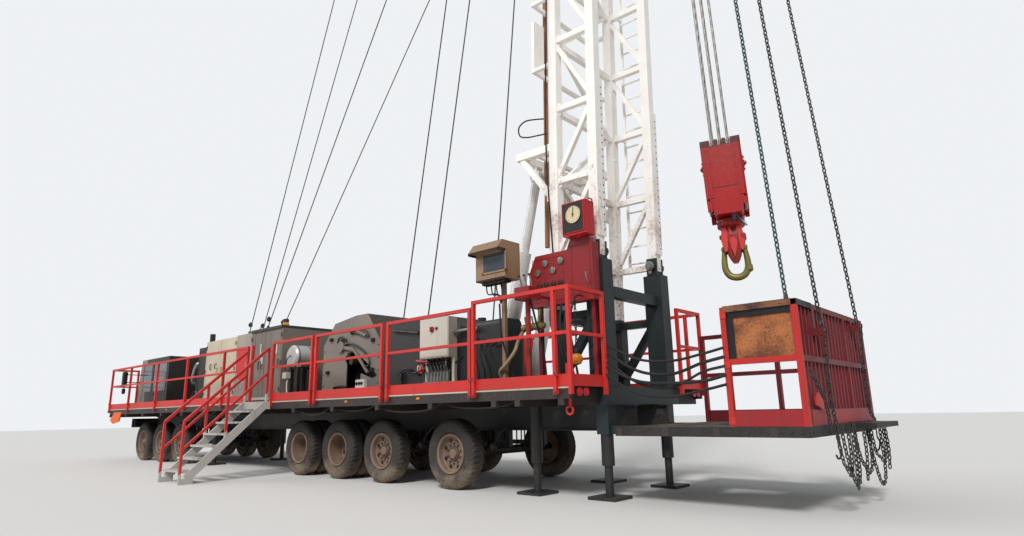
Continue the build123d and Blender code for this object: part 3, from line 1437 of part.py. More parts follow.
def drum_line(drum_x, drum_z, barrel, y, top, face):
    """A line from the front or the back of a drum straight up to its end."""
    run = Vector(top[0] - drum_x, 0, top[2] - drum_z).normalized()
    offset = (barrel + line_radius + fit_gap / 2) * face
    return rod((drum_x + run.Z * offset, y, drum_z - run.X * offset), top, line_radius)


# Guy lines with their roof fittings, the lines from the drums and the dead line
roof_z = [panel_top_z, panel_top_z, enclosure_top_z, enclosure_top_z]
guy_heads = [(crown_back, -guy_head_y, beam_z), (crown_back, guy_head_y, beam_z),
             (leg_rear_x, -mast_half_width, mast_height - guide_height),
             (leg_rear_x, mast_half_width, mast_height - guide_height)]
with BuildPart() as wire_lines:
    parts = []
    heads = guy_heads + [(crown_back, sand_line_top_y, beam_z),
                         (crown_back, dead_line_top_y, beam_z)]
    ends = []
    for x, y, z in heads:
        parts.append(mast_bar((x, y, z), (x - fitting_length, y, z), fitting_block))
        ends.append(on_mast(x - fitting_length / 2, y, z))
    for (x, y), z, end in zip(guy_roof_points, roof_z, ends):
        parts += [rod((x, y, z), (x, y, z + fitting_length), fitting_radius),
                  rod((x, y, z + fitting_length * 0.8), end, guy_radius)]
    main_top = on_mast(fast_sheave_x - block_sheave_radius - line_radius - fit_gap / 2, fast_sheave_y,
                       crown_shaft_z)
    dead_foot = (dead_line_x, 0, dead_line_z)
    parts += [
        drum_line(main_drum_x, main_drum_z, main_drum_radius, main_line_y, main_top, 1),
        drum_line(sand_drum_x, sand_drum_z, sand_drum_radius, sand_line_y, ends[4], -1),
        rod(dead_foot, (dead_line_x, 0, dead_line_z + fitting_length), fitting_radius),
        rod((dead_line_x, 0, dead_line_z + fitting_length * 0.8), ends[5], line_radius),
    ]
    add(parts)
save(wire_lines.part, "wire_lines")

# Work floor: a plated frame round the well slot
with BuildPart() as work_floor:
    rim = floor_post
    box(floor_x0, floor_x1, -floor_half_width, floor_half_width, floor_under_z, floor_z)
    box(floor_x0 + rim, floor_x1 - rim, rim - floor_half_width, floor_half_width - rim, floor_under_z,
        floor_z - floor_plate, mode=Mode.SUBTRACT)
    for y in (-well_slot_half_width - rim, well_slot_half_width):
        box(floor_x0, floor_x1, y, y + rim, floor_under_z, floor_z)
    for x in (well_slot_x0 - rim, well_slot_x1):
        box(x, x + rim, -floor_half_width, floor_half_width, floor_under_z, floor_z)
    box(well_slot_x0, well_slot_x1, -well_slot_half_width, well_slot_half_width, floor_under_z - 1, floor_z + 1,
        mode=Mode.SUBTRACT)
    # a ledge for the chains' bundles beyond the end face
    box(floor_x1 - rim, floor_x1 + ledge_length, ledge_near_y, floor_half_width, floor_z - ledge_thickness, floor_z)
save(work_floor.part, "work_floor")

# Work floor railing: a barred end face, a half-open near side, a full far side and the chains' brackets
with BuildPart() as floor_railing:
    post = floor_post
    end_x = floor_x1 - post
    panel = (2 * floor_half_width - post) / end_panel_count
    toe_z = floor_z + floor_toe_height
    for index in range(end_panel_count + 1):
        y = -floor_half_width + index * panel
        box(end_x, floor_x1, y, y + post, floor_z, floor_rail_z)
    for index in range(end_panel_count):
        for bar_index in range(end_bars_per_panel):
            bar_y = -floor_half_width + post + index * panel
            bar_y += (bar_index + 1) * (panel - post) / (end_bars_per_panel + 1)
            box(end_x + post / 2 - end_bar_size / 2, end_x + post / 2 + end_bar_size / 2,
                bar_y - end_bar_size / 2, bar_y + end_bar_size / 2, floor_z, floor_rail_z - post / 2)
    for z in (floor_mid_z, floor_rail_z - post):
        box(end_x, floor_x1, -floor_half_width, floor_half_width, z, z + post)
        box(floor_gate_x, end_x, -floor_half_width, post - floor_half_width, z, z + post)
        box(floor_x0, end_x, floor_half_width - post, floor_half_width, z, z + post)
    box(floor_gate_x, floor_gate_x + post, -floor_half_width, post - floor_half_width, floor_z, floor_rail_z)
    for x in (floor_x0, (floor_x0 + end_x) / 2):
        box(x, x + post, floor_half_width - post, floor_half_width, floor_z, floor_rail_z)
    box(floor_gate_x, end_x, -floor_half_width, toe_board_thickness - floor_half_width, floor_z, toe_z)
    box(floor_x0, end_x, floor_half_width - toe_board_thickness, floor_half_width, floor_z, toe_z)
    box(floor_x1 - toe_board_thickness, floor_x1, -floor_half_width, floor_half_width, floor_z, toe_z)
    for foot_x, foot_y, foot_z in chain_feet[1:]:
        box(floor_x1, floor_x1 + chain_bracket_length, foot_y - chain_bracket_reach, foot_y + chain_bracket_reach,
            foot_z - chain_bracket_height, foot_z)
        box(end_x, floor_x1, foot_y - chain_bracket_reach, foot_y + chain_bracket_reach,
            foot_z - chain_bracket_height, floor_rail_z - post / 2)
save(floor_railing.part, "floor_railing")

# Wind plate on the railing's near side
with BuildPart() as wind_plate:
    plate_y = floor_post / 2 - floor_half_width
    box(floor_gate_x + floor_post + wind_plate_inset, floor_x1 - floor_post, plate_y,
        plate_y + wind_plate_thickness, floor_mid_z + floor_post, floor_rail_z - floor_post)
save(wind_plate.part, "wind_plate")

# Chains from the floor's railing up to the crown's front beam
with BuildPart() as floor_chains:
    parts = []
    chain_head_x = crown_front - crown_beam / 2
    for (x, y, z), head_y in zip(chain_feet, chain_heads_y):
        end = on_mast(chain_head_x, head_y, upper_top - fitting_length / 2)
        parts += [
            rod((x, y, z), (x, y, z + fitting_length), fitting_radius),
            rod((x, y, z + fitting_length * 0.8), end, chain_radius),
            mast_bar((chain_head_x, head_y, upper_top - fitting_length), (chain_head_x, head_y, upper_top),
                     fitting_block),
        ]
    add(parts)
save(floor_chains.part, "floor_chains")

# Jacks under the deck's beams and the mast base's drop legs: a pad, a rod and a tube each
with BuildPart() as jacks:
    places = [(first_beam_x - index * deck_beam_pitch + deck_beam_width / 2, side * jack_y, frame_top_z)
              for index in jack_beams for side in (-1, 1)]
    places += [(mast_pivot_x, side * mast_half_width, floor_under_z) for side in (-1, 1)]
    parts = []
    for x, y, top_z in places:
        box(x - jack_pad / 2, x + jack_pad / 2, y - jack_pad / 2, y + jack_pad / 2, 0, jack_pad_thickness)
        parts += [rod((x, y, 0), (x, y, top_z), jack_rod_radius),
                  rod((x, y, jack_tube_foot_z), (x, y, top_z), jack_tube_radius)]
    add(parts)
save(jacks.part, "jacks")
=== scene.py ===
"""Looks for the well service rig: finishes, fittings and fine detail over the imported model."""

import logging
import math
from dataclasses import dataclass, field
from enum import Enum

import bmesh
import bpy
import numpy as np
from mathutils import Matrix

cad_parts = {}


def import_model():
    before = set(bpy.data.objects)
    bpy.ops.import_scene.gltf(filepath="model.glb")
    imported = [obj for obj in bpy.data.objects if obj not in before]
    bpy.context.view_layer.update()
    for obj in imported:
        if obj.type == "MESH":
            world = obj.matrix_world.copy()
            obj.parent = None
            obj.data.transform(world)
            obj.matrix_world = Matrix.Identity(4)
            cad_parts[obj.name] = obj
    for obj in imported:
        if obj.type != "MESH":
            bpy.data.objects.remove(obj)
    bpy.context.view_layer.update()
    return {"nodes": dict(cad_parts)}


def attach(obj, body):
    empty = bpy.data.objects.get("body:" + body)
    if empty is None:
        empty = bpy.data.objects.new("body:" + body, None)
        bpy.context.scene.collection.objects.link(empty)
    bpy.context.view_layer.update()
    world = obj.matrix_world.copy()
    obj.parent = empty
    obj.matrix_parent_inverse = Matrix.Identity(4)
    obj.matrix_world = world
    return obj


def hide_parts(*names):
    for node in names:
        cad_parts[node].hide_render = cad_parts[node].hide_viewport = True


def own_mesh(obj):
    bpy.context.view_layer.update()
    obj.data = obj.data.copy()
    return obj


log = logging.getLogger("rig")

Colour = tuple[float, float, float, float]
Triple = tuple[float, float, float]

REARWARD: Triple = (1, 0, 0)
FORWARD: Triple = (-1, 0, 0)
FAR: Triple = (0, 1, 0)
NEAR: Triple = (0, -1, 0)
UP: Triple = (0, 0, 1)
DOWN: Triple = (0, 0, -1)


def tone(red: int, green: int, blue: int) -> Colour:
    """Turns a display colour, 0 to 255 a channel, into the linear colour that a shader socket takes.

    Args:
        red: Display red.
        green: Display green.
        blue: Display blue.

    Returns:
        The linear colour with full alpha.
    """
    share = np.array([red, green, blue]) / 255.0
    linear = np.where(share <= 0.04045, share / 12.92, ((share + 0.055) / 1.055) ** 2.4)
    return (*(float(v) for v in linear), 1.0)


class Body(str, Enum):
    """The moving bodies that pieces ride on."""

    RIG = "rig"
    BLOCK = "travelling_block"
    HOOK = "hook"


class Wire:
    """A node's output, with the arithmetic that shader expressions use."""

    def __init__(self, graph: "Graph", socket: bpy.types.NodeSocket) -> None:
        """Keeps the socket and the graph that it belongs to."""
        self.graph = graph
        self.socket = socket

    def _math(self, operation: str, first: "Wire | float", second: "Wire | float") -> "Wire":
        """One Math node on two values."""
        return self.graph.node("ShaderNodeMath", {"operation": operation}, {0: first, 1: second})

    def __add__(self, other: "Wire | float") -> "Wire":
        """The sum."""
        return self._math("ADD", self, other)

    __radd__ = __add__

    def __sub__(self, other: "Wire | float") -> "Wire":
        """The difference."""
        return self._math("SUBTRACT", self, other)

    def __rsub__(self, other: float) -> "Wire":
        """The difference from a number."""
        return self._math("SUBTRACT", other, self)

    def __mul__(self, other: "Wire | float") -> "Wire":
        """The product."""
        return self._math("MULTIPLY", self, other)

    __rmul__ = __mul__

    def ramp(self, low: float, high: float) -> "Wire":
        """A smooth step from 0 at low to 1 at high."""
        settings = {"interpolation_type": "SMOOTHSTEP"}
        return self.graph.node("ShaderNodeMapRange", settings,
                               {"Value": self, "From Min": low, "From Max": high})


class Graph:
    """A material's node tree, built by expressions."""

    def __init__(self, name: str) -> None:
        """Starts an empty material of this name."""
        self.material = bpy.data.materials.new(name)
        self.material.use_nodes = True
        self.tree = self.material.node_tree
        self.tree.nodes.clear()
        self.point = self.node("ShaderNodeTexCoord", out="Object")

    def node(self, kind: str, settings: dict | None = None, sockets: dict | None = None,
             out: int | str = 0) -> Wire:
        """Adds any node.

        Args:
            kind: The node's type.
            settings: Its properties.
            sockets: Values or wires for its inputs, by name or number.
            out: The output to hand back.

        Returns:
            The wire from that output.
        """
        made = self.tree.nodes.new(kind)
        for name, value in (settings or {}).items():
            setattr(made, name, value)
        for name, value in (sockets or {}).items():
            if isinstance(value, Wire):
                self.tree.links.new(value.socket, made.inputs[name])
            else:
                made.inputs[name].default_value = value
        return Wire(self, made.outputs[out])

    def noise(self, scale: float, detail: float = 4.0, stretch: Triple = (1, 1, 1),
              point: Wire | None = None) -> Wire:
        """Cloudy noise, finer along the directions with a larger stretch."""
        place = self.node("ShaderNodeMapping", {}, {"Vector": point or self.point, "Scale": stretch})
        return self.node("ShaderNodeTexNoise", {}, {"Vector": place, "Scale": scale, "Detail": detail})

    def along(self, axis: Triple, point: Wire | None = None) -> Wire:
        """How far a point lies along an axis."""
        sockets = {0: point or self.point, 1: axis}
        return self.node("ShaderNodeVectorMath", {"operation": "DOT_PRODUCT"}, sockets, out="Value")

    def facing_up(self) -> Wire:
        """1 on level upper faces, 0 on walls and undersides."""
        normal = self.node("ShaderNodeNewGeometry", out="Normal")
        return self.along((0, 0, 1), normal).ramp(0.0, 1.0)

    def blend(self, share: Wire | float, first: Wire | Colour, second: Wire | Colour) -> Wire:
        """A colour between two, by the share of the second."""
        return self.node("ShaderNodeMix", {"data_type": "RGBA"}, {0: share, 6: first, 7: second}, out=2)

    def bump(self, height: Wire, strength: float, depth: float) -> Wire:
        """A bumped normal from a height."""
        return self.node("ShaderNodeBump", {}, {"Height": height, "Strength": strength, "Distance": depth})

    def shade(self, sockets: dict) -> bpy.types.Material:
        """Closes the material with a Principled shader.

        Args:
            sockets: Values or wires for the shader's inputs.

        Returns:
            The finished material.
        """
        surface = self.node("ShaderNodeBsdfPrincipled", {}, sockets)
        self.node_output(surface)
        return self.material

    def node_output(self, surface: Wire) -> None:
        """Wires a shader to the material's output."""
        output = self.tree.nodes.new("ShaderNodeOutputMaterial")
        self.tree.links.new(surface.socket, output.inputs["Surface"])


DUST = tone(176, 152, 126)
GRIME = tone(62, 50, 42)
RUST_DARK = tone(92, 48, 30)


@dataclass(frozen=True)
class Enamel:
    """Paint on steel: clouds, dust, rain streaks and chips, and an optional second colour beyond a plane,
    which is two-tone paint on some finishes and painted shade on others.
    """

    name: str
    colour: Colour
    dust: float = 0.3
    chips: float = 0.25
    streaks: float = 0.25
    roughness: float = 0.42
    metallic: float = 0.0
    band: Colour | None = None
    band_axis: Triple = (0.0, 0.0, 1.0)
    band_from: float = 0.0

    def material(self) -> bpy.types.Material:
        """Builds the paint's nodes."""
        graph = Graph(self.name)
        broad = graph.noise(0.8, 3)
        cloud = graph.noise(4.0, 5)
        fine = graph.noise(34.0, 5)
        streak = graph.noise(1.0, 4, (11.0, 11.0, 0.8))
        dusty = (cloud * 0.6 + fine * 0.4).ramp(0.62 - 0.3 * self.dust, 0.86 - 0.3 * self.dust)
        dusty = dusty * (graph.facing_up() * 0.7 + 0.3) * min(1.0, self.dust * 1.6)
        chipped = fine.ramp(0.66 - 0.05 * self.chips, 0.70) * broad.ramp(0.42, 0.62) * min(1.0,
                                                                                           self.chips * 2)
        streaked = streak.ramp(0.56, 0.78) * self.streaks
        body = self.colour
        # The band's second colour is painted shade on floor_red and block_red, and two-tone paint on the
        # stairs.
        if self.band:
            beyond = graph.along(self.band_axis).ramp(self.band_from - 0.002, self.band_from + 0.002)
            body = graph.blend(beyond, self.colour, self.band)
        shaded = graph.blend(broad.ramp(0.3, 0.7) * 0.22, body, GRIME)
        shaded = graph.blend(streaked, shaded, GRIME)
        shaded = graph.blend(dusty, shaded, DUST)
        shaded = graph.blend(chipped, shaded, RUST_DARK)
        return graph.shade({
            "Base Color": shaded,
            "Roughness": dusty * 0.35 + chipped * 0.3 + fine * 0.16 + (self.roughness - 0.08),
            "Metallic": self.metallic,
            "Normal": graph.bump(fine * 0.5 - chipped * 0.8, 0.18, 0.003),
        })


@dataclass(frozen=True)
class WeatheredMast:
    """Off-white mast paint, stained brown towards the foot."""

    name: str = "mast_paint"
    colour: Colour = tone(250, 246, 240)
    stain: Colour = tone(158, 118, 92)
    stain_top: float = 6.0

    def material(self) -> bpy.types.Material:
        """Builds the paint's nodes: the stains fade out upwards by the height."""
        graph = Graph(self.name)
        cloud = graph.noise(2.6, 5)
        fine = graph.noise(22.0, 6)
        drip = graph.noise(1.0, 5, (16.0, 16.0, 1.1))
        low = 1 - graph.along((0, 0, 1)).ramp(3.2, self.stain_top)
        stained = (cloud * 0.45 + fine * 0.35 + drip * 0.2 + low * 0.12).ramp(0.55,
                                                                              0.75) * (low * 0.55 + 0.14)
        chipped = (fine + low * 0.06).ramp(0.71, 0.76) * (low * 0.85 + 0.1)
        shaded = graph.blend(cloud.ramp(0.35, 0.7) * 0.2, self.colour, tone(214, 204, 192))
        shaded = graph.blend(stained, shaded, self.stain)
        shaded = graph.blend(chipped, shaded, RUST_DARK)
        return graph.shade({
            "Base Color": shaded,
            "Roughness": stained * 0.3 + fine * 0.2 + 0.38,
            "Normal": graph.bump(fine * 0.5 - chipped, 0.16, 0.003),
        })


@dataclass(frozen=True)
class Steel:
    """Bare or galvanised steel with oily patches and a fine grain."""

    name: str
    colour: Colour = tone(150, 148, 144)
    oil: float = 0.4
    roughness: float = 0.38
    metallic: float = 0.85

    def material(self) -> bpy.types.Material:
        """Builds the steel's nodes."""
        graph = Graph(self.name)
        cloud = graph.noise(5.0, 5)
        fine = graph.noise(60.0, 5)
        oily = cloud.ramp(0.5, 0.72) * self.oil
        shaded = graph.blend(fine.ramp(0.35, 0.7) * 0.35, self.colour, tone(110, 106, 102))
        shaded = graph.blend(oily, shaded, tone(42, 36, 32))
        return graph.shade({
            "Base Color": shaded,
            "Roughness": fine * 0.25 + oily * 0.2 + (self.roughness - 0.1),
            "Metallic": self.metallic,
            "Normal": graph.bump(fine, 0.1, 0.002),
        })


@dataclass(frozen=True)
class Rust:
    """Rusted steel plate: patches of brown and orange with scratches and pits."""

    name: str
    light: Colour = tone(176, 106, 58)
    dark: Colour = tone(104, 58, 34)
    pits: float = 0.35

    def material(self) -> bpy.types.Material:
        """Builds the rust's nodes."""
        graph = Graph(self.name)
        cloud = graph.noise(3.2, 6)
        fine = graph.noise(38.0, 6)
        scratch = graph.noise(4.0, 3, (1.0, 1.0, 22.0)).ramp(0.62, 0.7)
        shaded = graph.blend((cloud * 0.7 + fine * 0.3).ramp(0.38, 0.66), self.light, self.dark)
        shaded = graph.blend(fine.ramp(0.58, 0.72) * 0.7, shaded, tone(58, 34, 24))
        shaded = graph.blend(scratch * 0.35, shaded, tone(196, 140, 96))
        return graph.shade({
            "Base Color": shaded,
            "Roughness": fine * 0.3 + 0.6,
            "Normal": graph.bump(fine - scratch * 0.4, self.pits, 0.004),
        })


@dataclass(frozen=True)
class Rubber:
    """Tyre rubber, powdered with sand on its lower half."""

    name: str
    colour: Colour = tone(50, 46, 43)
    sand: Colour = tone(158, 138, 116)
    sand_top: float = 0.72

    def material(self) -> bpy.types.Material:
        """Builds the rubber's nodes: the sand fades out upwards."""
        graph = Graph(self.name)
        cloud = graph.noise(5.0, 5)
        fine = graph.noise(42.0, 5)
        low = 1 - graph.along((0, 0, 1)).ramp(0.0, self.sand_top)
        sandy = (cloud * 0.5 + fine * 0.3 + low * 0.35).ramp(0.52, 0.95) * 0.8
        return graph.shade({
            "Base Color": graph.blend(sandy, self.colour, self.sand),
            "Roughness": sandy * 0.15 + fine * 0.15 + 0.68,
            "Normal": graph.bump(fine, 0.2, 0.003),
        })


@dataclass(frozen=True)
class TreadPlate:
    """Steel floor plate with raised bars in two crossing directions, worn bare on the bars."""

    name: str
    colour: Colour = tone(46, 38, 36)
    pitch: float = 0.05

    def material(self) -> bpy.types.Material:
        """Builds the plate's nodes: two skewed waves make the bars."""
        graph = Graph(self.name)
        cloud = graph.noise(2.2, 5)
        fine = graph.noise(30.0, 4)
        turns = math.tau / self.pitch
        rising = graph.along((turns, turns, 0.0))
        falling = graph.along((turns, -turns, 0.0))
        waves = [graph.node("ShaderNodeMath", {"operation": "SINE"}, {0: way}) for way in (rising, falling)]
        bars = (waves[0] * waves[1]).ramp(0.35, 0.8) * graph.facing_up()
        dusty = (cloud * 0.6 + fine * 0.4).ramp(0.42, 0.7) * (graph.facing_up() * 0.55 + 0.06)
        shaded = graph.blend(dusty, self.colour, DUST)
        shaded = graph.blend(bars * 0.4, shaded, tone(140, 132, 124))
        return graph.shade({
            "Base Color": shaded,
            "Roughness": cloud * 0.3 + 0.45,
            "Normal": graph.bump(bars + fine * 0.2, 0.3, 0.004),
        })


@dataclass(frozen=True)
class Rope:
    """Wire rope: strands laid as slanted stripes in the piece's own surface coordinates."""

    name: str
    colour: Colour = tone(196, 190, 182)
    shadow: Colour = tone(52, 48, 46)
    strands: float = 6.0
    lay: float = 5.5

    def material(self) -> bpy.types.Material:
        """Builds the rope's nodes: a sine of the turn and the length makes the strands."""
        graph = Graph(self.name)
        place = graph.node("ShaderNodeUVMap")
        phase = graph.along((math.tau * self.strands, math.tau * self.lay, 0.0), place)
        strand = graph.node("ShaderNodeMath", {"operation": "SINE"}, {0: phase}) * 0.5 + 0.5
        fine = graph.noise(50.0, 4)
        crown = (strand + fine * 0.3).ramp(0.25, 0.85)
        return graph.shade({
            "Base Color": graph.blend(crown, self.shadow, self.colour),
            "Roughness": fine * 0.2 + 0.35,
            "Metallic": 0.6,
            "Normal": graph.bump(strand, 0.6, 0.004),
        })


@dataclass(frozen=True)
class Glass:
    """Dark glazing, filmed with dust."""

    name: str
    colour: Colour = tone(26, 32, 36)
    alpha: float = 1.0
    dust: float = 0.15

    def material(self) -> bpy.types.Material:
        """Builds the glass's nodes."""
        graph = Graph(self.name)
        film = graph.noise(6.0, 5).ramp(0.45, 0.8) * self.dust
        return graph.shade({
            "Base Color": graph.blend(film, self.colour, DUST),
            "Roughness": film * 0.6 + 0.06,
            "Alpha": self.alpha,
            "Coat Weight": 0.6,
        })


class Finish(Enum):
    """Every finish on the rig."""

    RAIL_RED = Enamel("rail_red", tone(206, 42, 36), dust=0.1, chips=0.3, streaks=0.16, roughness=0.4)
    # The darker band of block_red, above the plane in the block's lean, is painted shade over the block's top
    # chamfer.
    BLOCK_RED = Enamel("block_red", tone(166, 22, 18), dust=0.06, chips=0.2, streaks=0.3, roughness=0.26,
                       band=tone(88, 24, 26), band_axis=(-0.034017, 0.0, 0.999421), band_from=4.287)
    HOOK_RED = Enamel("hook_red", tone(150, 28, 22), dust=0.1, chips=0.5, streaks=0.4, roughness=0.38)
    OLIVE = Enamel("olive_ring", tone(128, 118, 58), dust=0.1, chips=0.6, streaks=0.5, roughness=0.4,
                   metallic=0.2)
    BLUE_STEEL = Enamel("lever_steel", tone(88, 110, 134), dust=0.1, chips=0.3, roughness=0.35, metallic=0.5)
    BLACK = Enamel("black_paint", tone(34, 34, 35), dust=0.32, chips=0.2, streaks=0.2, roughness=0.5)
    OILY_BLACK = Enamel("oily_black", tone(26, 28, 29), dust=0.2, chips=0.25, streaks=0.2, roughness=0.32)
    BASE_BLACK = Enamel("base_black", tone(32, 44, 46), dust=0.12, chips=0.35, streaks=0.2, roughness=0.38)
    GREY = Enamel("cab_grey", tone(138, 132, 124), dust=0.3, chips=0.15, streaks=0.3, roughness=0.45,
                  band=tone(44, 42, 42), band_axis=REARWARD, band_from=-9.3)
    PANEL_GREY = Enamel("panel_grey", tone(166, 156, 144), dust=0.25, chips=0.1, streaks=0.3, roughness=0.5)
    CREAM = Enamel("cream_paint", tone(206, 192, 168), dust=0.2, chips=0.12, streaks=0.25, roughness=0.5)
    ENCLOSURE = Enamel("enclosure_paint", tone(124, 114, 104), dust=0.22, chips=0.1, streaks=0.25,
                       roughness=0.5, band=tone(46, 44, 44), band_from=3.058)
    GUARD = Enamel("guard_paint", tone(128, 120, 110), dust=0.3, chips=0.15, streaks=0.25, roughness=0.5,
                   band=tone(70, 66, 62), band_axis=FAR, band_from=-0.985)
    DARK_GUARD = Enamel("dark_guard", tone(46, 45, 45), dust=0.2, chips=0.15, streaks=0.3, roughness=0.42)
    TANK = Enamel("tank_paint", tone(32, 33, 35), dust=0.15, chips=0.2, streaks=0.3, roughness=0.4)
    SWITCH = Enamel("switch_paint", tone(212, 204, 190), dust=0.2, chips=0.08, streaks=0.3, roughness=0.45,
                    band=tone(150, 142, 130), band_axis=REARWARD, band_from=4.259)
    CONSOLE = Enamel("console_red", tone(142, 26, 30), dust=0.14, chips=0.2, streaks=0.3, roughness=0.36)
    COPPER = Enamel("copper_paint", tone(150, 120, 90), dust=0.3, chips=0.3, streaks=0.4, roughness=0.42,
                    metallic=0.15)
    GAUGE_RED = Enamel("gauge_red", tone(196, 34, 40), dust=0.1, chips=0.15, streaks=0.15, roughness=0.32)
    # The maroon band of floor_red, beyond the plane across the railing's end and far faces, is painted shade.
    FLOOR_RED = Enamel("floor_red", tone(190, 38, 34), dust=0.12, chips=0.4, streaks=0.35, roughness=0.4,
                       band=tone(112, 26, 34), band_axis=(1, 1, 0), band_from=8.457)
    TOE_RED = Enamel("toe_red", tone(158, 30, 36), dust=0.12, chips=0.3, streaks=0.3, roughness=0.42)
    RIM = Enamel("rim_paint", tone(126, 102, 84), dust=0.4, chips=0.35, streaks=0.3, roughness=0.6)
    HUB = Enamel("hub_paint", tone(74, 66, 60), dust=0.4, chips=0.3, streaks=0.3, roughness=0.5)
    PALE = Enamel("pale_edge", tone(198, 190, 172), dust=0.25, chips=0.2, streaks=0.4, roughness=0.5)
    WHITE = Enamel("white_paint", tone(226, 222, 214), dust=0.15, chips=0.1, streaks=0.25, roughness=0.42)
    AMBER = Enamel("amber_lamp", tone(232, 142, 36), dust=0.08, chips=0.0, streaks=0.05, roughness=0.2)
    ORANGE = Enamel("orange_flag", tone(236, 98, 38), dust=0.12, chips=0.05, streaks=0.1, roughness=0.6)
    SWITCH_RED = Enamel("switch_red", tone(150, 36, 34), dust=0.05, chips=0.0, streaks=0.0, roughness=0.35)
    TAN_HOSE = Enamel("tan_hose", tone(176, 152, 116), dust=0.2, chips=0.0, streaks=0.2, roughness=0.6)
    DIAL = Enamel("dial_face", tone(232, 214, 172), dust=0.05, chips=0.0, streaks=0.05, roughness=0.4)
    BRASS = Enamel("brass_valve", tone(150, 134, 84), dust=0.15, chips=0.1, streaks=0.3, roughness=0.35,
                   metallic=0.7)
    PIPES = Enamel("pipe_paint", tone(150, 96, 58), dust=0.1, chips=0.5, streaks=0.5, roughness=0.6,
                   band=tone(226, 218, 208), band_axis=FAR, band_from=-0.35)
    NEAR_STAIRS = Enamel("near_stairs", tone(186, 182, 176), dust=0.2, chips=0.2, roughness=0.45,
                         band=tone(200, 42, 38), band_axis=(0.0, -0.931, 1.0), band_from=3.353)
    FAR_STAIRS = Enamel("far_stairs", tone(186, 182, 176), dust=0.2, chips=0.2, roughness=0.45,
                        band=tone(200, 42, 38), band_axis=(0.0, 0.931, 1.0), band_from=3.353)
    RUSTY_ANGLE = Rust("rusty_angle", tone(128, 84, 56), tone(66, 44, 36))
    MAST = WeatheredMast()
    STEEL = Steel("bright_steel")
    RAM = Steel("ram_steel", tone(232, 230, 226), oil=0.1, roughness=0.3, metallic=0.25)
    RECEIVER = Steel("receiver_steel", tone(206, 204, 200), oil=0.12, roughness=0.42, metallic=0.35)
    RECEIVER_SHELL = Enamel("receiver_shell", tone(204, 202, 198), dust=0.2, chips=0.05, streaks=0.2,
                            metallic=0.3, band=tone(36, 36, 37), band_axis=DOWN, band_from=-2.17)
    DARK_STEEL = Steel("dark_steel", tone(74, 70, 66), oil=0.5, roughness=0.4, metallic=0.7)
    WIRE = Steel("wire_steel", tone(66, 68, 72), oil=0.4, roughness=0.45, metallic=0.5)
    CHAIN = Steel("chain_steel", tone(78, 76, 76), oil=0.5, roughness=0.42, metallic=0.6)
    TEAL_CHAIN = Steel("teal_chain", tone(64, 92, 92), oil=0.3, roughness=0.4, metallic=0.5)
    RUSTY_PLATE = Rust("rusty_plate")
    TYRE = Rubber("tyre_rubber")
    HOSE = Rubber("hose_rubber", tone(34, 33, 33), tone(90, 82, 74), 0.4)
    DECK = TreadPlate("deck_plate")
    FLOOR_PLATE = TreadPlate("floor_plate", tone(36, 34, 34), 0.06)
    ROPE = Rope("hoist_rope")
    CAB_GLASS = Glass("cab_glazing", tone(112, 120, 126), dust=0.3)
    SCREEN = Glass("screen_glass", tone(58, 66, 78), dust=0.1)

    def dress(self, *objects: bpy.types.Object) -> None:
        """Gives objects this finish, building its material the first time."""
        made = bpy.data.materials.get(self.value.name + "_finish")
        if made is None:
            made = self.value.material()
            made.name = self.value.name + "_finish"
        for item in objects:
            item.data.materials.clear()
            item.data.materials.append(made)


@dataclass
class Surface:
    """One surface: points, four-cornered faces with their surface coordinates, and flat end faces."""

    points: np.ndarray
    quads: np.ndarray
    coords: np.ndarray
    ends: list[list[int]] = field(default_factory=list)


def grid(points: np.ndarray, round_rows: bool = False, round_columns: bool = True) -> Surface:
    """Joins a grid of points into faces.

    Args:
        points: An array of rows, columns and 3 coordinates.
        round_rows: Whether the last row meets the first.
        round_columns: Whether the last column meets the first.

    Returns:
        The surface, with coordinates that run from 0 to 1 round the columns and in metres along the rows.
    """
    rows, columns = points.shape[:2]
    row = np.arange(rows if round_rows else rows - 1)[:, None]
    column = np.arange(columns if round_columns else columns - 1)[None, :]
    row_next, column_next = row + 1, column + 1
    numbers = [(a % rows) * columns + (b % columns) for a, b in
               ((row, column), (row, column_next), (row_next, column_next), (row_next, column))]
    quads = np.stack(numbers, axis=-1).reshape(-1, 4)
    steps = np.linalg.norm(np.diff(points, axis=0), axis=2).mean(axis=1)
    length = np.concatenate([[0.0], np.cumsum(steps), [float(steps.sum())]])
    across = [np.broadcast_to(c / columns, (row.shape[0], column.shape[1])) for c in
              (column, column_next, column_next, column)]
    down = [np.broadcast_to(length[r], (row.shape[0], column.shape[1]))
            for r in (row, row, row_next, row_next)]
    coords = np.stack([np.stack(pair, axis=-1) for pair in zip(across, down)], axis=2).reshape(-1, 4, 2)
    return Surface(points.reshape(-1, 3), quads, coords)


def circle(radius: float, sides: int = 16) -> np.ndarray:
    """A round profile: radius times the cosine and sine of the turn."""
    turn = np.arange(sides) * math.tau / sides
    return radius * np.stack([np.cos(turn), np.sin(turn)], axis=1)


def rectangle(width: float, height: float, edge: float = 0.003) -> np.ndarray:
    """A rectangular profile with its corners cut by the edge."""
    x, y, e = width / 2, height / 2, min(edge, width / 4, height / 4)
    return np.array([(x, e - y), (x, y - e), (x - e, y), (e - x, y), (-x, y - e), (-x, e - y), (e - x, -y),
                     (x - e, -y)])


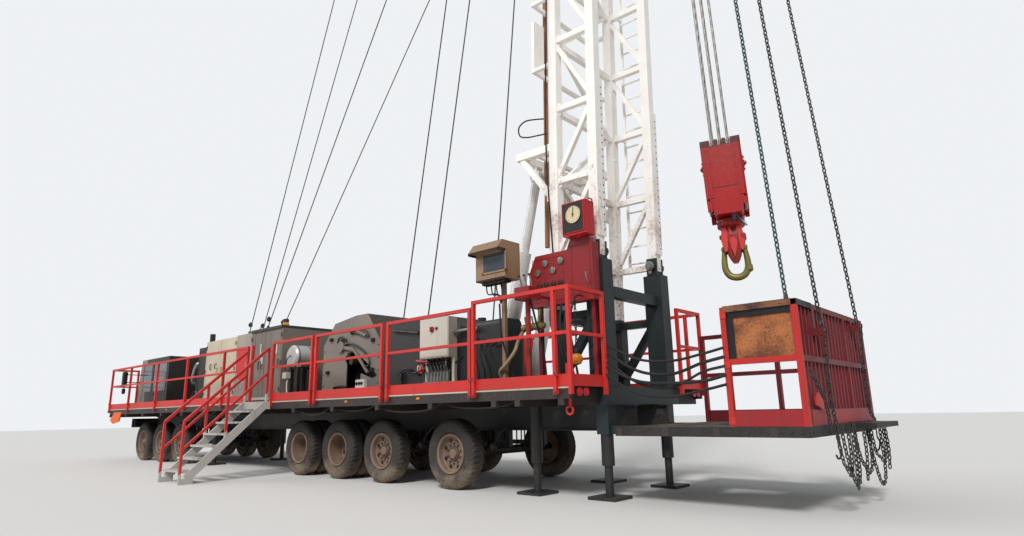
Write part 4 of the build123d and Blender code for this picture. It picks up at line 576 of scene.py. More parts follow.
def carried(profile: np.ndarray, path: np.ndarray, closed: bool = False,
            size: np.ndarray | None = None) -> Surface:
    """Carries a profile along a path, square to it and without twist.

    Args:
        profile: The section's outline, two coordinates a point.
        path: The stations, three coordinates each.
        closed: Whether the path is a loop.
        size: The profile's scale at each station.

    Returns:
        The swept surface, with flat ends on an open path.
    """
    path = np.asarray(path, float)
    if closed:
        ahead = np.roll(path, -1, axis=0) - np.roll(path, 1, axis=0)
    else:
        ahead = np.gradient(path, axis=0)
    ahead /= np.linalg.norm(ahead, axis=1)[:, None]
    hint = np.array([0.0, 0.0, 1.0]) if abs(ahead[0][2]) < 0.9 else np.array([1.0, 0.0, 0.0])
    side = np.empty_like(path)
    side[0] = np.cross(ahead[0], hint)
    for station in range(1, len(path)):
        side[station] = side[station - 1] - ahead[station] * (side[station - 1] @ ahead[station])
    side /= np.linalg.norm(side, axis=1)[:, None]
    rise = np.cross(side, ahead)
    size = np.ones(len(path)) if size is None else np.asarray(size, float)
    flat = profile[None, :, :] * size[:, None, None]
    points = path[:, None, :] + flat[..., :1] * side[:, None, :] + flat[..., 1:] * rise[:, None, :]
    made = grid(points, round_rows=closed)
    if not closed:
        count = len(profile)
        made.ends = [list(range(count)), list(range((len(path) - 1) * count, len(path) * count))]
    return made


def bend(points: list[Triple], stations: int = 10) -> np.ndarray:
    """A smooth line through points: each span is the cubic whose slopes are half the neighbours' spacing."""
    known = np.asarray(points, float)
    padded = np.vstack([2 * known[0] - known[1], known, 2 * known[-1] - known[-2]])
    t = np.linspace(0, 1, stations, endpoint=False)[:, None, None]
    a, b, c, d = (padded[i:len(padded) - 3 + i][None] for i in range(4))
    spans = 0.5 * (2 * b + (c - a) * t + (2 * a - 5 * b + 4 * c - d) * t ** 2
                   + (3 * b - a - 3 * c + d) * t ** 3)
    return np.vstack([spans.transpose(1, 0, 2).reshape(-1, 3), known[-1:]])


def tube(points: list[Triple], radius: float, sides: int = 10, stations: int = 8) -> Surface:
    """A round bar bent smoothly through points."""
    path = bend(points, stations) if len(points) > 2 else np.asarray(points, float)
    return carried(circle(radius, sides), path)


def loop(centre: Triple, radius: float, thickness: float, axis: Triple, span: float = 360.0,
         start: float = 0.0, segments: int = 28, sides: int = 8) -> Surface:
    """A ring or an arc of round bar.

    Args:
        centre: The ring's centre.
        radius: Its centreline's radius.
        thickness: The bar's radius.
        axis: The line that the ring turns about.
        span: How much of the circle it covers, in degrees.
        start: Where it begins.
        segments: Stations along a full circle.
        sides: Sides of the bar.

    Returns:
        The ring's surface.
    """
    normal = np.asarray(axis, float) / np.linalg.norm(axis)
    hint = np.array([0.0, 0.0, 1.0]) if abs(normal[2]) < 0.9 else np.array([1.0, 0.0, 0.0])
    right = np.cross(hint, normal)
    right /= np.linalg.norm(right)
    rise = np.cross(normal, right)
    whole = span >= 360
    turn = np.radians(start + np.linspace(0, span, segments, endpoint=not whole))[:, None]
    path = np.asarray(centre) + radius * (np.cos(turn) * right + np.sin(turn) * rise)
    return carried(circle(thickness, sides), path, closed=whole)


def turned(profile: list[tuple[float, float]], centre: Triple, axis: Triple, segments: int = 32) -> Surface:
    """Turns a profile of radius and distance about an axis through the centre; radius 0 closes an end."""
    normal = np.asarray(axis, float) / np.linalg.norm(axis)
    hint = np.array([0.0, 0.0, 1.0]) if abs(normal[2]) < 0.9 else np.array([1.0, 0.0, 0.0])
    right = np.cross(hint, normal)
    right /= np.linalg.norm(right)
    rise = np.cross(normal, right)
    turn = (np.arange(segments) + 0.5) * math.tau / segments
    around = np.cos(turn)[:, None] * right + np.sin(turn)[:, None] * rise
    outline = np.asarray(profile, float)
    points = np.asarray(centre) + outline[:, None, :1] * around[None] + outline[:, None, 1:] * normal
    made = grid(points)
    count = segments
    if outline[0, 0] > 0:
        made.ends.append(list(range(count)))
    if outline[-1, 0] > 0:
        made.ends.append(list(range((len(outline) - 1) * count, len(outline) * count)))
    return made


def slab(low: Triple, high: Triple, edge: float = 0.003) -> Surface:
    """A block between two corners with cut edges: four levels of a cut rectangle, the outer two drawn in."""
    low, high = np.minimum(low, high), np.maximum(low, high)
    half, middle = (high - low) / 2, (high + low) / 2
    edge = min(edge, float(half.min()) * 0.6)
    levels = np.array([-half[2], edge - half[2], half[2] - edge, half[2]])
    drawn = np.array([edge, 0.0, 0.0, edge])
    sign = np.array([(1, -1), (1, 1), (1, 1), (-1, 1), (-1, 1), (-1, -1), (-1, -1), (1, -1)], float)
    cut = np.array([(0, 1), (0, 1), (1, 0), (1, 0), (0, 1), (0, 1), (1, 0), (1, 0)], float) * edge
    flat = sign[None] * (half[None, None, :2] - cut[None] - drawn[:, None, None])
    points = np.concatenate([flat, np.broadcast_to(levels[:, None, None], (4, 8, 1))], axis=2) + middle
    made = grid(points)
    made.ends = [list(range(8)), list(range(24, 32))]
    return made


def prism(outline: list[tuple[float, float]], origin: Triple, right: Triple, rise: Triple,
          depth: float) -> Surface:
    """A flat outline thickened square to its plane."""
    right, rise = np.asarray(right, float), np.asarray(rise, float)
    flat = np.asarray(outline, float)
    face = np.asarray(origin) + flat[:, :1] * right + flat[:, 1:] * rise
    made = grid(np.stack([face, face + depth * np.cross(right, rise)]))
    count = len(flat)
    made.ends = [list(range(count)), list(range(count, 2 * count))]
    return made


def bolt(centre: Triple, axis: Triple, across: float = 0.03, height: float = 0.015) -> Surface:
    """A six-sided bolt head that stands on a face."""
    radius = across / 2
    return turned([(radius, 0.0), (radius, height * 0.8), (radius * 0.8, height), (0.0, height)], centre,
                  axis, 6)


def join(surfaces: list[Surface]) -> Surface:
    """Puts several surfaces into one."""
    offsets = np.cumsum([0] + [len(s.points) for s in surfaces[:-1]])
    return Surface(
        np.concatenate([s.points for s in surfaces]),
        np.concatenate([s.quads + o for s, o in zip(surfaces, offsets)]),
        np.concatenate([s.coords for s in surfaces]),
        [[n + int(o) for n in end] for s, o in zip(surfaces, offsets) for end in s.ends],
    )


def lofted(sections: list[tuple[float, float, float]], squareness: float = 4.0,
           segments: int = 32) -> Surface:
    """Stacks rounded outlines along Z.

    At each height the outline is a superellipse: the half width and the half depth are multiplied by the
    cosine and the sine of the turn, each raised to 2 over the squareness with its sign kept.

    Args:
        sections: Height, half width and half depth of each outline.
        squareness: 2 for an ellipse, more for squarer corners.
        segments: Points round an outline.

    Returns:
        The closed surface.
    """
    turn = (np.arange(segments) + 0.5) * math.tau / segments
    wave = np.stack([np.cos(turn), np.sin(turn)], axis=1)
    wave = np.sign(wave) * np.abs(wave) ** (2.0 / squareness)
    table = np.asarray(sections, float)
    flat = table[:, None, 1:] * wave[None]
    points = np.concatenate([flat, np.broadcast_to(table[:, None, :1], (len(table), segments, 1))], axis=2)
    made = grid(points)
    made.ends = [list(range(segments)), list(range((len(table) - 1) * segments, len(table) * segments))]
    return made


def links(path: np.ndarray | list[Triple], pitch: float = 0.06, bar: float = 0.0085) -> Surface:
    """Chain links laid along a path, every other one turned a quarter.

    A link's centreline is an oval: half the pitch plus the bar along the path times the cosine of the turn,
    and 2.3 bars across it times the sine. The bar stands round that line by its own four-cornered roll.

    Args:
        path: The chain's line.
        pitch: The distance from one link to the next.
        bar: The bar's radius.

    Returns:
        All links as one surface.
    """
    path = np.asarray(path, float)
    reach = np.concatenate([[0.0], np.cumsum(np.linalg.norm(np.diff(path, axis=0), axis=1))])
    count = max(2, round(float(reach[-1]) / pitch))
    step = float(reach[-1]) / count
    middle = (np.arange(count) + 0.5) * step
    before, centre, after = (np.stack([np.interp(middle + shift, reach, path[:, axis]) for axis in range(3)],
                                      axis=1) for shift in (-step / 2, 0.0, step / 2))
    ahead = after - before
    ahead /= np.linalg.norm(ahead, axis=1)[:, None]
    side = np.cross(ahead, (0.35, 0.9, 0.25))
    side /= np.linalg.norm(side, axis=1)[:, None]
    rise = np.cross(side, ahead)
    odd = (np.arange(count) % 2 == 1)[:, None]
    across, over = np.where(odd, rise, side), np.where(odd, -side, rise)
    turn = (np.arange(10) * math.tau / 10)[:, None]
    roll = ((np.arange(4) + 0.5) * math.tau / 4)[None, :]
    long = (step / 2 + bar + bar * np.cos(roll)) * np.cos(turn)
    wide = (2.3 * bar + bar * np.cos(roll)) * np.sin(turn)
    thick = bar * np.sin(roll) + 0 * turn
    points = centre[:, None, None] + sum(part[None, ..., None] * way[:, None, None] for part,
                                         way in ((long, ahead), (wide, across), (thick, over)))
    one = grid(points[0], round_rows=True)
    quads = one.quads[None] + (np.arange(count) * turn.size * roll.size)[:, None, None]
    return Surface(points.reshape(-1, 3), quads.reshape(-1, 4), np.tile(one.coords, (count, 1, 1)))


def mirrored(surfaces: list[Surface]) -> list[Surface]:
    """The surfaces with their images across the rig's centre line."""
    return surfaces + [Surface(s.points * (1, -1, 1), s.quads, s.coords, s.ends) for s in surfaces]


def frame_of(x0: float, x1: float, z0: float, z1: float, y: float, side: int, bead: float = 0.014,
             proud: float = 0.008) -> list[Surface]:
    """Four beads round a door or hatch on a face square to Y, standing proud on the side that it faces."""
    front = y + side * proud
    return [slab((x0, y, z0), (x1, front, z0 + bead)), slab((x0, y, z1 - bead), (x1, front, z1)),
            slab((x0, y, z0), (x0 + bead, front, z1)), slab((x1 - bead, y, z0), (x1, front, z1))]


def slats(x0: float, x1: float, z0: float, z1: float, y: float, side: int, count: int) -> list[Surface]:
    """Sloping louvre blades on a face square to Y."""
    made = []
    for level in np.linspace(z0, z1, count, endpoint=False):
        outline = [(0.0, 0.0), (0.0, (z1 - z0) / count * 0.8), (0.006, (z1 - z0) / count * 0.8),
                   (0.022, 0.004), (0.022, 0.0)]
        made.append(prism(outline, (x0, y, float(level)), (0, side, 0), (0, 0, 1), side * (x1 - x0)))
    return made


def bolts_along(start: Triple, end: Triple, count: int, axis: Triple, across: float = 0.026,
                height: float = 0.012) -> list[Surface]:
    """A row of bolt heads, evenly spaced between two places."""
    return [bolt(tuple(p), axis, across, height) for p in np.linspace(start, end, count)]


def bolt_circle(centre: Triple, right: Triple, rise: Triple, radius: float, count: int, axis: Triple,
                across: float = 0.03, height: float = 0.015) -> list[Surface]:
    """Bolt heads spaced evenly round a circle in the plane of two directions, from the first of them on."""
    made = []
    for turn in np.arange(count) * math.tau / count:
        out = math.cos(turn) * np.asarray(right) + math.sin(turn) * np.asarray(rise)
        made.append(bolt(tuple(np.asarray(centre) + radius * out), axis, across, height))
    return made


def disc(centre: Triple, axis: Triple, radius: float, height: float, segments: int) -> Surface:
    """A flat disc that stands on a face."""
    return turned([(radius, 0.0), (radius, height), (0.0, height)], centre, axis, segments)


def eye(x: float, y: float, z: float, radius: float = 0.035) -> list[Surface]:
    """A lifting eye that stands on a level face."""
    return [loop((x, y, z + radius * 1.3), radius, 0.009, (0, 1, 0), segments=18, sides=6),
            turned([(0.026, 0.0), (0.024, 0.014), (0.0, 0.018)], (x, y, z), (0, 0, 1), 12)]


@dataclass(frozen=True)
class Seat:
    """A place with its own directions, in which a sub-assembly is measured."""

    origin: Triple
    tilt: float = 0.0
    turn: float = 0.0

    def axes(self) -> np.ndarray:
        """The directions as rows: a turn about the vertical, then a tilt about the frame's Y."""
        tilt, turn = math.radians(self.tilt), math.radians(self.turn)
        lean = np.array([(math.cos(tilt), 0, math.sin(tilt)), (0, 1, 0),
                         (-math.sin(tilt), 0, math.cos(tilt))])
        swing = np.array([(math.cos(turn), -math.sin(turn), 0), (math.sin(turn), math.cos(turn), 0),
                          (0, 0, 1)])
        return (lean @ swing).T

    def at(self, x: float, y: float, z: float) -> np.ndarray:
        """A place measured in this seat, in the rig's frame."""
        return np.asarray(self.origin) + np.array([x, y, z]) @ self.axes()

    def carry(self, surface: Surface) -> Surface:
        """Moves a surface from this seat's measures to the rig's frame."""
        surface.points = surface.points @ self.axes() + np.asarray(self.origin)
        return surface


MAST_SEAT = Seat((6.95, 0.0, 3.35), tilt=1.5)
BLOCK_SEAT = Seat((8.54, 0.0, 4.71), tilt=-1.9494, turn=20.0)


def piece(name: str, surfaces: list[Surface], finish: Finish, body: str = Body.RIG.value,
          stands_for: tuple[str, ...] = (), sharp: float = 32.0,
          seat: Seat | None = None) -> bpy.types.Object:
    """Makes one piece from surfaces, closes and turns its faces outwards, dresses it and seats it on a body.

    Args:
        name: The piece's name.
        surfaces: What it is made of.
        finish: Its finish.
        body: The body that it rides on.
        stands_for: The CAD nodes that it replaces.
        sharp: The angle, in degrees, past which an edge stays crisp.
        seat: The place that the surfaces are measured in, if that isn't the rig's own frame.

    Returns:
        The finished object.
    """
    whole = join(surfaces)
    if seat:
        seat.carry(whole)
    mesh = bpy.data.meshes.new(name)
    mesh.from_pydata(whole.points.tolist(), [], whole.quads.tolist() + whole.ends)
    layer = mesh.uv_layers.new(name="UVMap")
    corners = np.zeros((len(mesh.loops), 2), np.float32)
    corners[:whole.coords.shape[0] * 4] = whole.coords.reshape(-1, 2)
    layer.data.foreach_set("uv", corners.ravel())
    shape = bmesh.new()
    shape.from_mesh(mesh)
    bmesh.ops.remove_doubles(shape, verts=shape.verts, dist=1e-6)
    bmesh.ops.recalc_face_normals(shape, faces=shape.faces)
    shape.to_mesh(mesh)
    shape.free()
    mesh.shade_smooth()
    mesh.set_sharp_from_angle(angle=math.radians(sharp))
    made = bpy.data.objects.new(name, mesh)
    bpy.context.scene.collection.objects.link(made)
    finish.dress(made)
    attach(made, body)
    if stands_for:
        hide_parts(*stands_for)
    log.info("%s: %d faces", name, len(mesh.polygons))
    return made


@dataclass
class Assembly:
    """A sub-assembly of the rig."""

    nodes: dict[str, bpy.types.Object]

    def dress(self, finish: Finish, *names: str) -> None:
        """Gives CAD nodes a finish."""
        finish.dress(*(self.nodes[name] for name in names))

    def build(self) -> None:
        """Makes the sub-assembly's pieces and dresses its nodes."""
        raise NotImplementedError


@dataclass
class Wheels(Assembly):
    """Lugged tyres on dusty steel wheels with hand holes, nuts, a hub cap and a valve."""

    rows: dict[str, list[float]] = field(default_factory=lambda: {
        "steer_wheel": [-8.5, -7.2, -5.9], "drive_wheel": [0.0, 1.332], "tag_wheel": [2.664, 4.394]})
    face: float = 1.295
    radius: float = 0.525
    width: float = 0.28
    dual_pitch: float = 0.33
    rim: float = 0.29
    disc_depth: dict[str, float] = field(default_factory=lambda: {
        "steer_wheel": 0.1, "drive_wheel": 0.305, "tag_wheel": 0.11})
    lug: float = 0.019
    nuts: int = 10
    nut_circle: float = 0.146
    hand_holes: int = 8
    hole_circle: float = 0.208

    def tyre(self, x: float, y: float) -> Surface:
        """A tyre's surface: a rounded section carried round the axle, with lugs cut by a staggered pattern.

        Args:
            x: The axle's place.
            y: The tyre's middle across the rig.

        Returns:
            The closed surface.
        """
        segments, steps = 160, 30
        turn = np.arange(segments)[:, None] * math.tau / segments
        sweep = np.radians(np.linspace(-68, 248, steps))[None, :]
        middle = (self.rim + self.radius) / 2
        reach = self.radius - middle + 0.001
        across = 0.143 * np.sign(np.cos(sweep)) * np.abs(np.cos(sweep)) ** 0.55
        out = middle + reach * np.sign(np.sin(sweep)) * np.abs(np.sin(sweep)) ** 0.62
        column = np.arange(steps)[None, :]
        tread = out > self.radius - 0.05
        crown = (column % 6 == 2) & (out > self.radius - 0.01)
        groove = ((np.arange(segments)[:, None] + 2 * (column // 3)) % 4 == 0) | crown
        out = out - self.lug * (tread & groove)
        points = np.stack([x + out * np.sin(turn), y + across + 0 * turn, self.radius + out * np.cos(turn)],
                          axis=-1)
        return grid(points, round_rows=True)

    def fittings(self, x: float, side: int, depth: float) -> list[Surface]:
        """Nuts, a hub cap with a stepped end, and a valve stem on a wheel's outer side."""
        y = side * (self.face - depth)
        axis = (0, side, 0)
        made = bolt_circle((x, y, self.radius), UP, REARWARD, self.nut_circle, self.nuts, axis, 0.03, 0.03)
        made.append(turned([(0.112, 0.0), (0.112, 0.016), (0.104, 0.026), (0.086, 0.03), (0.086, 0.0)],
                           (x, y, self.radius), axis, 36))
        made.append(tube([(x + 0.2, y, self.radius + 0.1), (x + 0.22, y + side * 0.03, self.radius + 0.11)],
                         0.006, 6))
        return made

    def shell(self, x: float, side: int, depth: float, span: float) -> Surface:
        """The steel wheel: a rolled lip, the well, and the dished disc with its raised centre."""
        outline = [(0.0, 0.05 - depth), (0.06, 0.05 - depth), (0.074, 0.04 - depth), (0.084, -depth),
                   (0.236, -depth), (0.252, 0.016 - depth), (0.262, -0.024), (0.276, -0.012), (0.292, -0.006),
                   (0.3, -0.014), (0.3, -span), (0.262, 0.01 - span), (0.258, -0.04 - depth),
                   (0.236, -0.022 - depth), (0.0, -0.022 - depth)]
        return turned(outline, (x, side * self.face, self.radius), (0, side, 0), 56)

    def holes(self, x: float, side: int, depth: float) -> list[Surface]:
        """Dark discs at the hand holes round the wheel's disc: painted shade where the open holes would show.
        """
        turn = (np.arange(self.hand_holes) + 0.5) * math.tau / self.hand_holes
        return [turned([(0.034, 0.0), (0.034, 0.0025), (0.0, 0.003)],
                       (x + self.hole_circle * math.sin(a), side * (self.face - depth),
                        self.radius + self.hole_circle * math.cos(a)), (0, side, 0), 16) for a in turn]

    def build(self) -> None:
        """Makes every wheel's tyres, steel and fittings, and the dark discs of painted shade at its hand
        holes.
        """
        for row, places in self.rows.items():
            for index, x in enumerate(places):
                for side, end in ((-1, "near"), (1, "far")):
                    name = f"{row}_{index + 1}_{end}"
                    depths = (0.0, self.dual_pitch) if row == "drive_wheel" else (0.0,)
                    tyres = [self.tyre(x, side * (self.face - self.width / 2 - d)) for d in depths]
                    piece(f"{name}_tyre", tyres, Finish.TYRE, name, stands_for=(name,),
                          sharp=50)
                    depth = self.disc_depth[row]
                    piece(f"{name}_steel", [self.shell(x, side, depth, self.width + depths[-1])], Finish.RIM,
                          name)
                    piece(f"{name}_fittings", self.fittings(x, side, depth), Finish.HUB, name)
                    # Dark discs at the hand holes: painted shade standing in for the open holes.
                    piece(f"{name}_holes", self.holes(x, side, depth), Finish.OILY_BLACK, name)


@dataclass
class Carrier(Assembly):
    """Chassis, deck, jacks, railings and stairs."""

    axles: tuple[float, ...] = (-8.5, -7.2, -5.9, 0.0, 1.332, 2.664, 4.394)

    def edge_strips(self) -> list[Surface]:
        """Pale bare edges of the deck plate under the toe boards."""
        spans = [(-9.9, -1.33), (-0.24, 1.2), (1.36, 3.32), (3.5, 5.37), (5.47, 7.1)]
        return mirrored([slab((x0, -1.783, 1.404), (x1, -1.792, 1.427), 0.002) for x0, x1 in spans])

    def rail_brackets(self) -> list[Surface]:
        """A clip and two bolts where each post crosses the deck's edge."""
        made = []
        for x in (-9.9, -8.325, -6.325, -4.425, -2.425, 1.235, 1.375, 3.355, 3.515, 5.405, 5.48, 6.925):
            made.append(slab((x - 0.036, -1.808, 1.335), (x + 0.036, -1.842, 1.375)))
            made += [bolt((x + dx, -1.842, 1.355), NEAR, 0.018, 0.012) for dx in (-0.018, 0.018)]
            made.append(slab((x - 0.03, -1.838, 1.56), (x + 0.03, -1.846, 1.6), 0.002))
        return mirrored(made)

    def suspension(self) -> list[Surface]:
        """A brake chamber and two clamp bolts beside each spring, and the shackle at the spring's end."""
        made = []
        for x in self.axles:
            made.append(turned([(0.05, 0.0), (0.085, 0.02), (0.09, 0.06), (0.085, 0.1), (0.05, 0.13)],
                               (x + 0.2, -0.62, 0.62), REARWARD, 20))
            made.append(tube([(x + 0.3, -0.62, 0.64), (x + 0.42, -0.58, 0.82), (x + 0.5, -0.5, 0.92)], 0.014,
                             8))
            for dx in (-0.09, 0.09):
                made += [tube([(x + dx, y, 0.5), (x + dx, y, 0.86)], 0.012, 8) for y in (-0.49, -0.37)]
        return mirrored(made)

    def under_hoses(self) -> list[Surface]:
        """Cables clipped under the deck's near edge, drooping between their clips."""
        made = []
        for x0, x1, sag in ((-4.2, -2.9, 0.1), (0.55, 1.75, 0.13), (1.75, 3.1, 0.07), (3.1, 4.7, 0.11),
                            (4.7, 6.2, 0.08)):
            made.append(tube([(x0, -1.7, 1.29), (x0 + 0.3, -1.7, 1.27 - sag * 0.7),
                              ((x0 + x1) / 2, -1.7, 1.27 - sag), (x1 - 0.3, -1.7, 1.27 - sag * 0.7),
                              (x1, -1.7, 1.29)], 0.012, 8))
            made.append(slab((x0 - 0.02, -1.72, 1.27), (x0 + 0.02, -1.68, 1.31)))
        return made

    def build(self) -> None:
        """Dresses the carrier's nodes and adds its trim."""
        self.dress(Finish.BLACK, "chassis_frame", "axles", "jacks")
        self.dress(Finish.DECK, "deck")
        self.dress(Finish.RAIL_RED, "near_railing", "far_railing")
        self.dress(Finish.NEAR_STAIRS, "near_stairs")
        self.dress(Finish.FAR_STAIRS, "far_stairs")
        piece("deck_edges", self.edge_strips(), Finish.PALE)
        piece("rail_clips", self.rail_brackets(), Finish.TOE_RED)
        piece("suspension", self.suspension(), Finish.OILY_BLACK)
        piece("under_cables", self.under_hoses(), Finish.HOSE)
        boxes = mirrored([slab((-9.86, -1.12, 0.92), (-9.8, -0.86, 1.1), 0.01)])
        piece("front_steps", boxes, Finish.OILY_BLACK)
        lamps = mirrored([slab((x, -1.786, 1.34), (x + 0.07, -1.8, 1.375), 0.004)
                          for x in (-5.6, -3.4, 2.3, 4.2)])
        piece("side_markers", lamps, Finish.AMBER)
        rear = mirrored([turned([(0.05, 0.0), (0.05, 0.02), (0.0, 0.03)], (7.112, y, 1.36), REARWARD, 20)
                         for y in (-1.62, -1.48)])
        piece("rear_lamps", rear, Finish.GAUGE_RED)


@dataclass
class Cab(Assembly):
    """Cab with door seams, a handle, a mirror on its arm, a wiper and lamps."""

    near: float = -1.1
    far: float = -0.05
    top: float = 2.89

    def build(self) -> None:
        """Dresses the cab and adds its fittings."""
        self.dress(Finish.GREY, "cab_shell")
        self.dress(Finish.CAB_GLASS, "cab_glass")
        seams = []
        for y, side in ((self.near, -1), (self.far, 1)):
            seams += [slab((x, y - 0.003, 1.5), (x + 0.012, y + 0.003, 2.8), 0.001) for x in (-8.86, -7.74)]
            seams += [slab((-8.86, y - 0.003, z), (-7.728, y + 0.003, z + 0.012), 0.001) for z in (1.5, 2.79)]
            seams.append(tube([(-8.72, y, 1.84), (-8.7, y + side * 0.04, 1.84),
                               (-8.56, y + side * 0.04, 1.84), (-8.54, y, 1.84)], 0.01, 8))
        piece("cab_seams", seams, Finish.OILY_BLACK)
        mirror = [slab((-9.29, -1.76, 2.09), (-9.15, -1.64, 2.5), 0.02),
                  slab((-9.27, -1.74, 1.86), (-9.17, -1.66, 2.02), 0.02)]
        mirror += [tube([(-9.22, -1.09, z), (-9.22, -1.35, z), (-9.22, -1.66, z)], 0.012)
                   for z in (2.2, 2.42)]
        mirror += [tube([(-9.22, -1.68, 1.9), (-9.22, -1.7, 2.12)], 0.01, 8)]
        mirror += [tube([(-9.9, -0.95, 1.96), (-9.84, -0.7, 2.3)], 0.008, 6),
                   slab((-9.87, -0.98, 2.0), (-9.845, -0.5, 2.02))]
        piece("cab_mirror", mirror, Finish.OILY_BLACK)
        grille = [slab((-9.906, -1.0, z), (-9.89, -0.15, z + 0.02), 0.003)
                  for z in np.arange(1.55, 1.85, 0.045)]
        grille += bolts_along((-7.7, -1.1, 1.56), (-7.7, -1.1, 2.78), 6, NEAR, 0.02, 0.008)
        piece("cab_grille", grille, Finish.DARK_STEEL)
        lamps = [turned([(0.08, 0.0), (0.085, 0.02), (0.07, 0.035), (0.0, 0.045)], (-9.95, s * 0.78, 1.03),
                        FORWARD) for s in (-1, 1)]
        piece("cab_lamps", lamps, Finish.WHITE)
        markers = [slab((-9.7, y, self.top), (-9.62, y + 0.1, self.top + 0.04), 0.01)
                   for y in (-0.95, -0.62, -0.3)]
        piece("cab_markers", markers, Finish.AMBER)
        flag = [prism([(0.0, 0.1), (0.25, 0.0), (0.75, 0.06), (0.9, 0.32), (0.3, 0.32)], (-9.8, -1.76, 1.02),
                      REARWARD, UP, 0.03)]
        piece("side_flag", flag, Finish.ORANGE)


@dataclass
class EngineBay(Assembly):
    """Engine with pipes, the air cleaner and the radiator's core."""

    core_x: tuple[float, float] = (-5.72, -5.22)
    core_half: float = 0.95
    rows: int = 26

    def core(self) -> list[Surface]:
        """Level slats across both faces of the radiator's recess."""
        levels = np.linspace(1.58, 2.82, self.rows)
        return [slab((x - 0.012, -self.core_half, z), (x + 0.012, self.core_half, z + 0.012), 0.002)
                for x in (self.core_x[0] + 0.03, self.core_x[1] - 0.03) for z in levels]

    def engine_parts(self) -> list[Surface]:
        """Valve covers, the manifold's runners, the alternator and the fan's ring."""
        made = [slab((-7.2 + 0.44 * i, -0.3, 2.35), (-6.82 + 0.44 * i, 0.1, 2.4), 0.02) for i in range(3)]
        made += [tube([(-7.15 + 0.24 * i, -0.42, 2.2), (-7.15 + 0.24 * i, -0.52, 2.2),
                       (-7.13 + 0.24 * i, -0.56, 2.08)], 0.03, 10) for i in range(5)]
        made.append(tube([(-7.2, -0.56, 2.06), (-6.7, -0.57, 2.05), (-6.1, -0.56, 2.06)], 0.05, 12))
        made.append(turned([(0.04, 0.0), (0.11, 0.01), (0.12, 0.05), (0.12, 0.17), (0.1, 0.2), (0.03, 0.22)],
                           (-6.15, -0.54, 1.78), REARWARD, 24))
        made.append(loop((-5.83, 0.0, 2.05), 0.46, 0.02, REARWARD, segments=48, sides=8))
        made += [slab((-5.835, -0.03, 1.62), (-5.825, 0.03, 2.48), 0.002),
                 slab((-5.835, -0.43, 2.02), (-5.825, 0.43, 2.08), 0.002)]
        return made

    def build(self) -> None:
        """Dresses the engine bay and adds its pipework."""
        self.dress(Finish.OILY_BLACK, "engine", "radiator_housing")
        piece("radiator_slats", self.core(), Finish.DARK_STEEL)
        piece("engine_parts", self.engine_parts(), Finish.DARK_STEEL)
        # The pale steel on these pipes is partly their bright metal and partly painted highlight.
        pale = [tube([(-7.1, -0.45, 2.05), (-7.1, -0.62, 2.2), (-6.6, -0.7, 2.62), (-6.1, -0.62, 2.35)],
                     0.045), tube([(-6.9, -0.44, 1.75), (-6.8, -0.6, 1.85), (-6.2, -0.62, 1.85),
                                   (-5.78, -0.5, 1.9)], 0.038)]
        piece("engine_pipes", pale, Finish.RECEIVER)
        ribs = [loop((x, -0.06, 2.61), 0.233, 0.012, REARWARD, segments=36, sides=6)
                for x in (-7.05, -6.72, -6.4)]
        ribs += bolts_along((-5.73, -1.02, 1.5), (-5.73, -1.02, 2.9), 8, FORWARD) + mirrored(
            frame_of(-5.66, -5.28, 1.56, 2.86, -1.05, -1))
        piece("cleaner_bands", ribs, Finish.DARK_STEEL)
        cables = [tube([(-6.9, -0.58, 2.3), (-6.5, -0.75, 1.95), (-6.0, -0.8, 1.7), (-5.75, -0.7, 1.8)],
                       0.016, 8), tube([(-7.2, -0.5, 1.9), (-6.9, -0.7, 1.6), (-6.4, -0.72, 1.5),
                                        (-5.9, -0.72, 1.6)], 0.02, 8),
                  tube([(-7.55, -0.4, 2.4), (-7.4, -0.55, 2.2), (-7.2, -0.55, 2.0)], 0.014, 8)]
        piece("engine_hoses", cables, Finish.HOSE)


